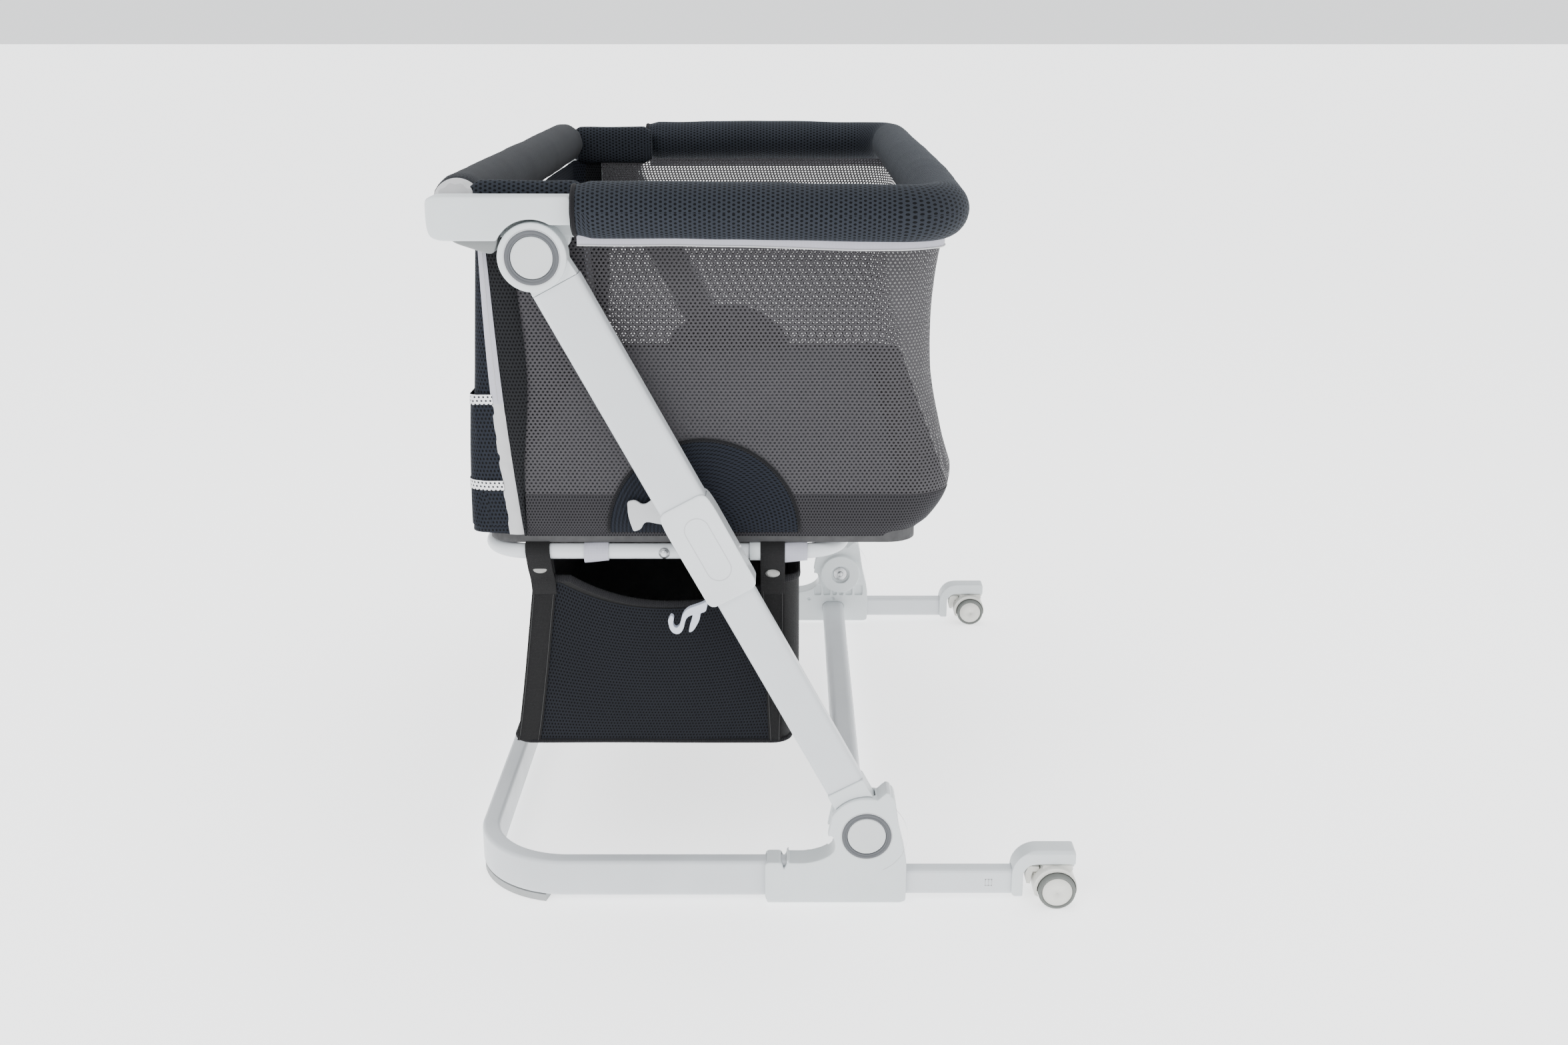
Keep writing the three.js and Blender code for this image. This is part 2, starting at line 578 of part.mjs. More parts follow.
function wallRight(z) {
  const waist = 161 + (z < 604 ? 0.0014 : 0.0012) * (z - 604) ** 2; // drawn in towards its middle
  const heel = z < 462 ? 0.0085 * (462 - z) ** 2 : 0; // and rounded at the bottom
  return Math.min(waist, 187) - heel;
}

// Walls drawn upright between X = 0 and X = 1000 are moved to the fabric body's real faces.
function fitToBody(geometry) {
  const position = geometry.attributes.position;
  for (let i = 0; i < position.count; i += 1) {
    const z = position.getZ(i);
    const x = position.getX(i);
    const left = wallLeft(z);
    const right = wallRight(z);
    position.setX(i, x < 500 ? left + x : right - (1000 - x));
  }
  return geometry;
}

function uprightExtrusion(shape) {
  return new THREE.ExtrudeGeometry(shape, {
    depth: WALL.high - WALL.low, steps: 8, curveSegments: 3, bevelEnabled: false,
  }).translate(0, 0, WALL.low);
}

// The near, right and far walls in one piece.
function cribWalls() {
  const half = WALL.halfLength;
  const inside = half - WALL.thickness;
  const corner = WALL.corner;
  const shape = new THREE.Shape();
  shape.moveTo(6, -half);
  shape.absarc(1000 - corner, -half + corner, corner, -Math.PI / 2, 0);
  shape.absarc(1000 - corner, half - corner, corner, 0, Math.PI / 2);
  shape.lineTo(6, half);
  shape.lineTo(6, inside);
  const tight = corner - WALL.thickness;
  shape.absarc(1000 - corner, half - corner, tight, Math.PI / 2, 0, true);
  shape.absarc(1000 - corner, -half + corner, tight, 0, -Math.PI / 2, true);
  shape.lineTo(6, -inside);
  return fitToBody(uprightExtrusion(shape));
}

// The drop side's own wall, with a flat pocket low on its outer face.
function sideWall() {
  const end = WALL.halfLength - WALL.thickness - 2;
  const shape = outline([0, -end], [WALL.thickness, -end], [WALL.thickness, end], [0, end]);
  return fitToBody(uprightExtrusion(shape));
}

function addCrib() {
  placePair('corner_bracket', topBracket(), plastic);
  placePair('side_release_lever', releaseLever(), leverGrey);
  place('rim_tube', bentTube(roundSection(RIM.tube, RIM.tube - RIM.wall), rimLine(RIM.left, 6), 4),
    paint);
  place('rim_bumper', bentTube(roundSection(BUMPER_RADIUS, RIM.tube + 0.6), rimLine(-172, 6), 6),
    navyMesh);
  place('crib_walls', cribWalls(), blackMesh);
  const railEnd = BRACKET.inner - 0.5;
  const rail = across(disc(SIDE_RAIL_X, RIM.z, RIM.tube), -railEnd, railEnd, 6);
  place('side_rail', rail, paint);
  const sleeve = disc(SIDE_RAIL_X, RIM.z, BUMPER_RADIUS);
  sleeve.holes.push(disc(SIDE_RAIL_X, RIM.z, RIM.tube + 0.6));
  place('side_bumper', across(sleeve, -railEnd + 2, railEnd - 2, 6), navyMesh);
  place('side_wall', sideWall(), navyMesh);
}

// ---------------------------------------------------------------- bottom frame, bed and basket
function frameHalf(end) {
  const line = new BentLine(
    [[FRAME.joint, FRAME.y, FRAME.z], [end, FRAME.y, FRAME.z], [end, -FRAME.y, FRAME.z],
      [FRAME.joint, -FRAME.y, FRAME.z]], FRAME.bend, 5);
  line.stations[0].x += Math.sign(end) * GAP;
  line.stations.at(-1).x += Math.sign(end) * GAP;
  return bentTube(roundSection(FRAME.tube, FRAME.tube - 1.5), line, 4);
}

function frameSleeve() {
  const section = disc(FRAME.y, FRAME.z, FRAME.tube + 1.5);
  section.holes.push(disc(FRAME.y, FRAME.z, FRAME.tube + 0.6));
  return lengthwise(section, FRAME.joint - 17, FRAME.joint + 18, 6);
}

// A box open at the top, narrower there, hung from the frame by four straps.
function basket() {
  const { left, right, halfLength, low, high, wall } = BASKET;
  const mouth = left + 31;
  const outside = across(
    outline([left, low], [right - 8, low], [right + 1, high - 60], [right, high], [mouth, high]),
    -halfLength, halfLength);
  const inside = across(
    outline([left + 1 + wall, low + wall], [right - 8 - wall, low + wall],
      [right + 1 - wall, high - 60], [right - wall, high], [right - wall, high + 10],
      [mouth + wall, high + 10], [mouth + wall, high]),
    -halfLength + wall, halfLength - wall);
  const straps = [-249, -9].flatMap((edge) => [-1, 1].map((side) => {
    const faces = [side * (halfLength - wall + 0.2), side * halfLength].sort((a, b) => a - b);
    return block(edge, edge + 24, ...faces, high - 22, FRAME.z - FRAME.tube - 0.5);
  }));
  return joined(cut(outside, inside), ...straps);
}

function addBottom() {
  place('bottom_frame_left', frameHalf(FRAME.left), paint);
  place('bottom_frame_right', frameHalf(FRAME.right), paint);
  placePair('frame_sleeve', frameSleeve(), plastic);
  const plan = (left, right, half) => roundedRectangle(left, -half, right, half, 30);
  place('floor_board', upward(plan(-288, 150, 402), BOARD.low, BOARD.high, 4), board);
  place('mattress', upward(plan(-284, 148, 398), MATTRESS.low, MATTRESS.high, 4), cotton);
  place('basket', basket(), blackMesh);
}

addBase();
addCastors();
addLegs();
addCrib();
addBottom();

export default bassinet;
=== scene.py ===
"""A bedside bassinet on a folding stand: the looks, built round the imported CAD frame.

Lengths in the outlines are millimetres, +X towards the castors, +Y along the crib, +Z up, as in the frame.
"""

import math

import bmesh
import bpy
from mathutils import Euler, Matrix, Vector, noise


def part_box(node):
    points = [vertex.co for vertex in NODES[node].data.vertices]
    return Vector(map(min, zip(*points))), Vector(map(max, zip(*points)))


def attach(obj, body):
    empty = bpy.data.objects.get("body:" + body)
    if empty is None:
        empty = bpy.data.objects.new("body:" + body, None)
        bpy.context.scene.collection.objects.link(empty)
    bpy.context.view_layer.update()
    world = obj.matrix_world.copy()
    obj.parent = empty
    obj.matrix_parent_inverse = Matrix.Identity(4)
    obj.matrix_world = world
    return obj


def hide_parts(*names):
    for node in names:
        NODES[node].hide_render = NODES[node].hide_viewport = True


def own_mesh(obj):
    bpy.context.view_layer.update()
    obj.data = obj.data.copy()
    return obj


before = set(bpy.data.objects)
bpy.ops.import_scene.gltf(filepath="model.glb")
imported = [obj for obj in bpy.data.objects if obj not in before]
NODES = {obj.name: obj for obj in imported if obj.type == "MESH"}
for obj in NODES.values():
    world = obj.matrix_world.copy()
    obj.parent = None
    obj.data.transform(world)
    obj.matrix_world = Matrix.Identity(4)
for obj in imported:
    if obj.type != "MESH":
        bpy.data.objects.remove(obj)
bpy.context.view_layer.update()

MM = 0.001
UP = Vector((0, 0, 1))
SIDES = {"far": 1, "near": -1}


def box(node):
    """A CAD node's lowest and highest corners, in millimetres."""
    low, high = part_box(node)
    return Vector(low) / MM, Vector(high) / MM


def centre(node):
    low, high = box(node)
    return (low + high) / 2


# ------------------------------------------------------------------ sizes read from the frame
UPPER_HINGE = centre("upper_hinge_ring_far")
LOWER_HINGE = centre("lower_hinge_ring_far")
LEG_AXIS = (UPPER_HINGE - LOWER_HINGE).normalized()
LEG_LEAN = math.atan2(-LEG_AXIS.x, LEG_AXIS.z)
LEG_LENGTH = (UPPER_HINGE - LOWER_HINGE).length
LEG_Y = centre("castor_axle_far").y
LEG_OFFSET = 4.9  # the tubes' centre line lies this far to the right of the hinge line
RIM_Z = centre("rim_bumper").z
RIM_Y = box("rim_tube")[1].y - 8
RIM_RIGHT = box("rim_tube")[1].x - 8
RAIL_X = centre("side_rail").x
FRAME_TUBE = 8
FRAME_Z = centre("bottom_frame_left").z
FRAME_LEFT = box("bottom_frame_left")[0].x + FRAME_TUBE
FRAME_RIGHT = box("bottom_frame_right")[1].x - FRAME_TUBE
FRAME_Y = box("bottom_frame_left")[1].y - FRAME_TUBE
WALL_TOP = box("crib_walls")[1].z
WALL_Y = box("crib_walls")[1].y
HEM = 400.5  # height of the crib walls' lower edge


# ------------------------------------------------------------------ camera, light and floor
def make_camera():
    """Level to the left and right, and 17 degrees down."""
    data = bpy.data.cameras.new("camera")
    data.sensor_width = 36
    data.lens = 38.09
    data.clip_start = 0.05
    camera = bpy.data.objects.new("camera", data)
    camera.location = (0.0151, -2.0179, 0.9045)
    camera.rotation_euler = Euler((math.radians(90 - 16.92), 0, 0))
    bpy.context.scene.collection.objects.link(camera)
    bpy.context.scene.camera = camera


def add_area_light(name, location, target, size, watts):
    data = bpy.data.lights.new(name, "AREA")
    data.shape = "DISK"
    data.size = size
    data.energy = watts
    light = bpy.data.objects.new(name, data)
    light.location = location
    direction = Vector(target) - Vector(location)
    light.rotation_euler = direction.to_track_quat("-Z", "Y").to_euler()
    bpy.context.scene.collection.objects.link(light)


def make_studio():
    world = bpy.data.worlds.new("studio")
    world.use_nodes = True
    background = world.node_tree.nodes["Background"]
    background.inputs["Color"].default_value = (0.97, 0.985, 1.0, 1)
    background.inputs["Strength"].default_value = 1.55
    bpy.context.scene.world = world
    add_area_light("key", (-1.5, -2.4, 2.4), (0, 0, 0.4), 1.6, 30)
    add_area_light("fill", (2.4, -1.6, 1.6), (0, 0, 0.4), 2.0, 12)
    add_area_light("top", (0.2, 0.5, 2.8), (0, 0, 0.4), 2.0, 22)


def make_floor():
    half = 60
    mesh = bpy.data.meshes.new("floor")
    mesh.from_pydata(
        [(-half, -half, 0), (half, -half, 0), (half, half, 0), (-half, half, 0)], [], [(0, 1, 2, 3)])
    floor = bpy.data.objects.new("floor", mesh)
    bpy.context.scene.collection.objects.link(floor)
    paint = Paint("floor", (0.96, 0.96, 0.96), 0.7, Emission_Strength=1.5)
    paint.shader.inputs["Emission Color"].default_value = (1.0, 1.0, 1.0, 1)
    paint.shade(paint.noise(3.0), (0.955, 0.957, 0.96), (0.965, 0.966, 0.967))
    mesh.materials.append(paint.material)


# ------------------------------------------------------------------ materials
class Paint:
    """One material's node tree, added to a node at a time."""

    def __init__(self, name, color, roughness, **sockets):
        self.material = bpy.data.materials.new(name)
        self.material.use_nodes = True
        self.tree = self.material.node_tree
        self.shader = self.tree.nodes["Principled BSDF"]
        self.shader.inputs["Base Color"].default_value = (*color, 1)
        self.shader.inputs["Roughness"].default_value = roughness
        for socket, value in sockets.items():
            self.shader.inputs[socket.replace("_", " ")].default_value = value
        self.last_bump = None

    def node(self, kind, **settings):
        node = self.tree.nodes.new(f"ShaderNode{kind}")
        for key, value in settings.items():
            setattr(node, key, value)
        return node

    def feed(self, value, socket):
        if isinstance(value, bpy.types.NodeSocket):
            self.tree.links.new(value, socket)
        else:
            socket.default_value = value

    def math(self, operation, *values):
        node = self.node("Math", operation=operation)
        for value, socket in zip(values, node.inputs):
            self.feed(value, socket)
        return node.outputs[0]

    def position(self):
        return self.node("TexCoord").outputs["Object"]

    def cloth(self):
        """Distances along and across the cloth, in metres."""
        return self.node("UVMap", uv_map="cloth").outputs[0]

    def scaled(self, vector, x, y, z=1.0):
        node = self.node("Mapping")
        self.feed(vector, node.inputs["Vector"])
        node.inputs["Scale"].default_value = (x, y, z)
        return node.outputs[0]

    def noise(self, scale, detail=3.0, where=None):
        node = self.node("TexNoise")
        self.feed(where or self.position(), node.inputs["Vector"])
        node.inputs["Scale"].default_value = scale
        node.inputs["Detail"].default_value = detail
        return node.outputs["Fac"]

    def ramp(self, value, low, high, start=0.0, end=1.0):
        node = self.node("MapRange", interpolation_type="SMOOTHSTEP")
        self.feed(value, node.inputs["Value"])
        for name, number in zip(("From Min", "From Max", "To Min", "To Max"), (low, high, start, end)):
            node.inputs[name].default_value = number
        return node.outputs["Result"]

    def blend(self, share, first, second):
        node = self.node("Mix", data_type="RGBA")
        self.feed(share, node.inputs["Factor"])
        for color, socket in ((first, node.inputs[6]), (second, node.inputs[7])):
            self.feed(color if isinstance(color, bpy.types.NodeSocket) else (*color, 1), socket)
        return node.outputs[2]

    def shade(self, share, first, second):
        color = self.blend(share, first, second)
        self.feed(color, self.shader.inputs["Base Color"])
        return color

    def bump(self, height, distance, strength=1.0):
        node = self.node("Bump")
        node.inputs["Strength"].default_value = strength
        node.inputs["Distance"].default_value = distance
        self.feed(height, node.inputs["Height"])
        if self.last_bump:
            self.feed(self.last_bump, node.inputs["Normal"])
        self.last_bump = node.outputs[0]
        self.feed(self.last_bump, self.shader.inputs["Normal"])

    def roughen(self, share, low, high):
        self.feed(self.ramp(share, 0.3, 0.7, low, high), self.shader.inputs["Roughness"])

    def honeycomb(self, pitch, stretch=1.0):
        """1 in the middle of each hole and 0 on the threads: three waves at 60 degrees to each other."""
        where = self.scaled(self.cloth(), 1.0, stretch)
        wave_number = 4 * math.pi / (math.sqrt(3) * pitch)
        total = 0.0
        for degrees in (0, 60, 120):
            angle = math.radians(degrees)
            along = self.node("VectorMath", operation="DOT_PRODUCT")
            self.feed(where, along.inputs[0])
            along.inputs[1].default_value = (
                wave_number * math.cos(angle), wave_number * math.sin(angle), 0)
            total = self.math("ADD", self.math("COSINE", along.outputs["Value"]), total)
        return self.ramp(total, -1.5, 3.0)

    def ribs(self, pitch, axis=0):
        """Waves across the cloth: 1 on each rib."""
        part = self.node("SeparateXYZ")
        self.feed(self.cloth(), part.inputs[0])
        wave = self.math("SINE", self.math("MULTIPLY", part.outputs[axis], 2 * math.pi / pitch))
        return self.ramp(wave, -1.0, 1.0)

    def weave(self, pitch):
        return self.math("MULTIPLY", self.ribs(pitch, 0), self.ribs(pitch * 0.8, 1))


def moulded(name, color, roughness, **sockets):
    """Hard plastic or paint: a fine grain, faint clouding, uneven gloss and paler, rubbed edges."""
    paint = Paint(name, color, roughness, **sockets)
    cloud = paint.noise(9.0, 4.0)
    deep = tuple(value * 0.955 for value in color)
    bright = tuple(min(1.0, value * 1.03) for value in color)
    base = paint.blend(paint.ramp(cloud, 0.3, 0.7), deep, bright)
    edge = paint.ramp(paint.node("NewGeometry").outputs["Pointiness"], 0.51, 0.62, 0.0, 0.5)
    paint.shade(edge, base, tuple(min(1.0, value * 1.09) for value in color))
    paint.roughen(paint.noise(34.0, 5.0), roughness - 0.06, roughness + 0.08)
    paint.bump(paint.noise(1500.0, 2.0), 0.00004, 0.6)
    paint.bump(paint.noise(22.0, 2.0), 0.0006, 0.12)
    return paint.material


def metal(name, color, roughness):
    paint = Paint(name, color, roughness, Metallic=1.0)
    paint.shade(paint.noise(120.0, 4.0), tuple(value * 0.8 for value in color), color)
    paint.roughen(paint.noise(300.0, 4.0), roughness - 0.06, roughness + 0.14)
    paint.bump(paint.noise(700.0, 3.0), 0.00005, 0.5)
    return paint.material


def rubber(name, color):
    paint = Paint(name, color, 0.75)
    paint.shade(paint.noise(60.0, 4.0), tuple(value * 0.85 for value in color), color)
    paint.roughen(paint.noise(80.0, 4.0), 0.62, 0.85)
    paint.bump(paint.noise(900.0, 4.0), 0.00012, 0.8)
    return paint.material


def spacer_mesh(name, thread, pit_shade, pitch, sheen=0.35, stretch=1.25):
    """Knitted spacer fabric: pale threads round deep six-sided pits, painted dark as shade, with a soft
    sheen.
    """
    paint = Paint(name, thread, 0.82, Sheen_Weight=sheen, Sheen_Roughness=0.45, Specular_IOR_Level=0.12)
    paint.shader.inputs["Sheen Tint"].default_value = (0.72, 0.79, 0.88, 1)
    comb = paint.honeycomb(pitch, stretch)
    hole = paint.ramp(comb, 0.30, 0.62)
    worn = paint.noise(14.0, 4.0)
    fuzz = paint.noise(2600.0, 2.0)
    fresh = paint.blend(worn, tuple(value * 0.82 for value in thread), tuple(v * 1.2 for v in thread))
    lit = paint.blend(paint.ramp(fuzz, 0.35, 0.75, 0.0, 0.35), fresh, tuple(v * 2.1 for v in thread))
    # the pits are painted in shade, far darker than the threads
    paint.shade(hole, lit, pit_shade)
    paint.roughen(fuzz, 0.7, 0.95)
    paint.bump(paint.math("SUBTRACT", 1.0, hole), 0.0009, 0.9)
    paint.bump(fuzz, 0.00015, 0.5)
    return paint.material


def open_mesh(name, thread, pitch, stretch, openness):
    """Net that can be seen through: the threads are drawn round clear holes, which are painted in shade."""
    paint = Paint(name, thread, 0.75, Sheen_Weight=0.04, Sheen_Roughness=0.5, Specular_IOR_Level=0.12)
    comb = paint.honeycomb(pitch, stretch)
    uneven = paint.math("MULTIPLY", paint.noise(38.0, 3.0), 0.10)
    edge = paint.math("ADD", comb, uneven)
    limit = 0.62 - openness * 0.4
    hole = paint.ramp(edge, limit, limit + 0.10)
    dull, bright = (tuple(v * share for v in thread) for share in (0.8, 1.4))
    worn = paint.blend(paint.noise(700.0, 3.0), dull, bright)
    # round and in the holes the net is painted in shade, at 0.22 of the thread's colour
    paint.shade(paint.ramp(comb, limit - 0.12, limit + 0.16), worn, tuple(v * 0.22 for v in thread))
    paint.bump(paint.math("SUBTRACT", 1.0, comb), 0.0006, 0.8)
    clear = paint.math("MULTIPLY", hole, 0.62)  # a second layer closes the holes in part
    paint.feed(paint.math("SUBTRACT", 1.0, clear), paint.shader.inputs["Alpha"])
    return paint.material


def woven(name, color, pitch, roughness=0.85, sheen=0.15, depth=0.0002):
    """Plain woven cloth or webbing, with creases caught by the light and painted shade between its threads.
    """
    paint = Paint(name, color, roughness, Sheen_Weight=sheen, Sheen_Roughness=0.5, Specular_IOR_Level=0.15)
    cloth = paint.weave(pitch)
    tone = paint.blend(paint.noise(17.0, 4.0), tuple(v * 0.82 for v in color), tuple(v * 1.12 for v in color))
    # the gaps between the threads are painted in shade, at 0.72 of the cloth's colour
    paint.shade(paint.ramp(cloth, 0.0, 1.0), tuple(v * 0.72 for v in color), tone)
    paint.roughen(paint.noise(900.0, 2.0), roughness - 0.08, roughness + 0.08)
    paint.bump(cloth, depth, 0.8)
    paint.bump(paint.noise(46.0, 3.0), 0.0016, 0.22)
    return paint.material


def ribbed(name, color, pitch, sheen=0.3):
    paint = Paint(name, color, 0.85, Sheen_Weight=sheen, Sheen_Roughness=0.5, Specular_IOR_Level=0.12)
    rib = paint.ribs(pitch)
    hole = paint.honeycomb(pitch * 0.9)
    tone = paint.blend(paint.noise(20.0, 4.0), tuple(v * 0.8 for v in color), tuple(v * 1.25 for v in color))
    # the holes along the ribs are painted in shade, at 0.3 of the colour
    paint.shade(paint.math("MULTIPLY", rib, hole), tone, tuple(v * 0.3 for v in color))
    paint.bump(rib, 0.0004, 0.6)
    paint.bump(paint.math("SUBTRACT", 1.0, hole), 0.0003, 0.6)
    return paint.material


def dotted(name, pitch):
    """White tape knitted with rows of black dots."""
    paint = Paint(name, (0.8, 0.8, 0.82), 0.8, Sheen_Weight=0.2)
    dot = paint.ramp(paint.honeycomb(pitch), 0.52, 0.62)
    paint.shade(dot, (0.78, 0.78, 0.80), (0.015, 0.015, 0.02))
    paint.bump(paint.math("SUBTRACT", 1.0, dot), 0.0005, 0.7)
    paint.bump(paint.noise(1500.0, 2.0), 0.0001, 0.6)
    return paint.material


def clear_plastic(name, color):
    paint = Paint(name, color, 0.28, Subsurface_Weight=0.35, Coat_Weight=0.3)
    paint.shader.inputs["Subsurface Radius"].default_value = (0.004, 0.004, 0.005)
    paint.shade(paint.noise(30.0, 3.0), tuple(v * 0.93 for v in color), color)
    paint.roughen(paint.noise(60.0, 4.0), 0.22, 0.38)
    paint.bump(paint.noise(900.0, 2.0), 0.00004, 0.5)
    return paint.material


WHITE = moulded("white_plastic", (0.605, 0.64, 0.65), 0.40)
PAINTED = moulded("painted_tube", (0.57, 0.595, 0.615), 0.36, Coat_Weight=0.15)
GLOSSY = moulded("glossy_plastic", (0.62, 0.645, 0.66), 0.24, Coat_Weight=0.35)
BUTTON = moulded("button_plastic", (0.56, 0.58, 0.585), 0.42)
CREAM = moulded("cream_plastic", (0.65, 0.645, 0.60), 0.35)
RING_GREY = moulded("ring_grey", (0.075, 0.080, 0.088), 0.48)
LEVER_GREY = moulded("lever_grey", (0.19, 0.20, 0.20), 0.45)
PALE_GREY = moulded("pale_grey", (0.49, 0.50, 0.51), 0.42)
MILKY = clear_plastic("milky_plastic", (0.53, 0.56, 0.65))
FOOT_RUBBER = rubber("foot_rubber", (0.36, 0.37, 0.37))
TYRE = rubber("tyre_rubber", (0.14, 0.15, 0.14))
ZINC = metal("zinc_steel", (0.60, 0.61, 0.62), 0.30)
GUNMETAL = metal("gunmetal", (0.26, 0.26, 0.25), 0.34)
# the second colour of each spacer cloth is the painted shade in its pits
NAVY = spacer_mesh("navy_spacer", (0.0175, 0.0205, 0.0265), (0.002, 0.0024, 0.0034), 0.0052, 0.05)
NAVY_PATCH = spacer_mesh("navy_patch", (0.0105, 0.0125, 0.018), (0.0014, 0.0017, 0.0025), 0.0046, 0.03)
BLACK_SPACER = spacer_mesh("black_spacer", (0.0115, 0.012, 0.0135), (0.0015, 0.0015, 0.002), 0.0042, 0.03)
RAIL_MESH = ribbed("rail_mesh", (0.017, 0.019, 0.023), 0.0040, 0.04)
NET = open_mesh("open_net", (0.050, 0.048, 0.052), 0.0038, 0.86, 0.28)
WALL_BAND = spacer_mesh("wall_band_mesh", (0.030, 0.029, 0.032), (0.006, 0.006, 0.007), 0.0038, 0.03)
BASKET_NET = spacer_mesh("basket_net", (0.0085, 0.0095, 0.0125), (0.001, 0.001, 0.0015), 0.0040, 0.02)
WEBBING = woven("black_webbing", (0.012, 0.012, 0.0125), 0.0016, 0.8, 0.03, 0.0003)
BASKET_CLOTH = woven("basket_cloth", (0.018, 0.018, 0.0185), 0.0009, 0.75, 0.05)
LINING = woven("grey_lining", (0.050, 0.050, 0.051), 0.0008, 0.7, 0.05)
TAPE = woven("white_tape", (0.56, 0.555, 0.625), 0.0008, 0.7, 0.1, 0.0001)
SATIN = woven("white_satin", (0.62, 0.62, 0.63), 0.0007, 0.5, 0.15, 0.00008)
LOOP_TAPE = woven("velcro_tape", (0.52, 0.52, 0.60), 0.0012, 0.85, 0.15, 0.0003)
DOTS = dotted("dotted_trim", 0.0044)
BINDING = ribbed("black_binding", (0.010, 0.010, 0.0115), 0.0022, 0.05)


# ------------------------------------------------------------------ pieces
def add_piece(name, mesh, body, material, replaces=()):
    """A finished piece: it wears a material, rides a body and may stand for CAD nodes."""
    piece = bpy.data.objects.new(name, mesh)
    bpy.context.scene.collection.objects.link(piece)
    mesh.materials.clear()
    mesh.materials.append(material)
    mesh.shade_smooth()
    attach(piece, body)
    if replaces:
        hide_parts(*replaces)
    return piece


def keep_node(node, material, bevel=0.0):
    """A CAD node whose shape is right keeps its mesh, with its edges softened."""
    piece = NODES[node]
    piece.data.materials.clear()
    piece.data.materials.append(material)
    if bevel:
        softened = piece.modifiers.new("edges", "BEVEL")
        softened.width = bevel * MM
        softened.segments = 3
        softened.limit_method = "ANGLE"
        softened.angle_limit = math.radians(35)
        softened.harden_normals = False
    return piece


def mesh_of(name, vertices, faces):
    mesh = bpy.data.meshes.new(name)
    mesh.from_pydata([Vector(v) * MM for v in vertices], [], faces)
    shape = bmesh.new()
    shape.from_mesh(mesh)
    bmesh.ops.recalc_face_normals(shape, faces=shape.faces)
    shape.to_mesh(mesh)
    shape.free()
    return mesh


def mirrored(mesh):
    """The other side's copy, about Y = 0."""
    copy = mesh.copy()
    copy.transform(Matrix.Diagonal((1, -1, 1, 1)))
    copy.flip_normals()
    return copy


def sides_of(mesh):
    """The far and the near side's mesh of a piece that is drawn on the far side."""
    return {"far": mesh, "near": mirrored(mesh)}


# ------------------------------------------------------------------ outlines
def arc(a, b, radius, start, end, steps=16):
    """Points on an arc, from one angle to another in degrees."""
    angles = (math.radians(start + (end - start) * i / steps) for i in range(steps + 1))
    return [(a + radius * math.cos(t), b + radius * math.sin(t)) for t in angles]


def circle(a, b, radius, steps=48):
    return arc(a, b, radius, 0, 360 * (steps - 1) / steps, steps - 1)


def ring_points(radius, steps, flat=1.0):
    """A round section, or an oval one, for a tube or a cord."""
    turns = (2 * math.pi * k / steps for k in range(steps))
    return [(radius * math.cos(turn), radius * flat * math.sin(turn)) for turn in turns]


def rounded(left, low, right, high, radius, steps=8):
    points = arc(right - radius, low + radius, radius, -90, 0, steps)
    points += arc(right - radius, high - radius, radius, 0, 90, steps)
    points += arc(left + radius, high - radius, radius, 90, 180, steps)
    points += arc(left + radius, low + radius, radius, 180, 270, steps)
    return points


def soft_corners(*corners):
    """An outline whose corners (a, b, size) are rounded off; a corner of size 0 stays sharp."""
    points = []
    for i, (a, b, size) in enumerate(corners):
        here = Vector((a, b))
        if not size:
            points.append((a, b))
            continue
        before = Vector(corners[i - 1][:2]) - here
        after = Vector(corners[(i + 1) % len(corners)][:2]) - here
        start = here + before.normalized() * min(size, before.length * 0.5)
        end = here + after.normalized() * min(size, after.length * 0.5)
        for step in range(9):
            t = step / 8
            point = start * (1 - t) ** 2 + here * 2 * t * (1 - t) + end * t ** 2
            points.append(tuple(point))
    return points


def prism(outline, low, high, axis="y"):
    """Vertices and faces of an outline drawn across an axis, from one place on it to another."""
    place = {
        "x": lambda a, b, c: (c, a, b),
        "y": lambda a, b, c: (a, c, b),
        "z": lambda a, b, c: (a, b, c),
    }[axis]
    count = len(outline)
    vertices = [place(a, b, low) for a, b in outline] + [place(a, b, high) for a, b in outline]
    faces = [tuple(range(count)), tuple(range(2 * count - 1, count - 1, -1))]
    for i in range(count):
        j = (i + 1) % count
        faces.append((i, j, count + j, count + i))
    return vertices, faces


def on_leg(part):
    """Turns a part drawn in the leg's own frame (x across it, z up it) to where the leg stands."""
    vertices, faces = part
    place = Matrix.Translation((LOWER_HINGE.x, 0, LOWER_HINGE.z)) @ Matrix.Rotation(-LEG_LEAN, 4, "Y")
    return [place @ Vector(v) for v in vertices], faces


def evaluated_mesh(piece):
    """A piece's mesh with its modifiers applied; the piece itself is removed."""
    graph = bpy.context.evaluated_depsgraph_get()
    graph.update()
    mesh = bpy.data.meshes.new_from_object(piece.evaluated_get(graph), depsgraph=graph)
    old = piece.data
    bpy.data.objects.remove(piece)
    bpy.data.meshes.remove(old)
    return mesh


def scratch_object(name, part):
    piece = bpy.data.objects.new(name, mesh_of(name, *part))
    bpy.context.scene.collection.objects.link(piece)
    return piece


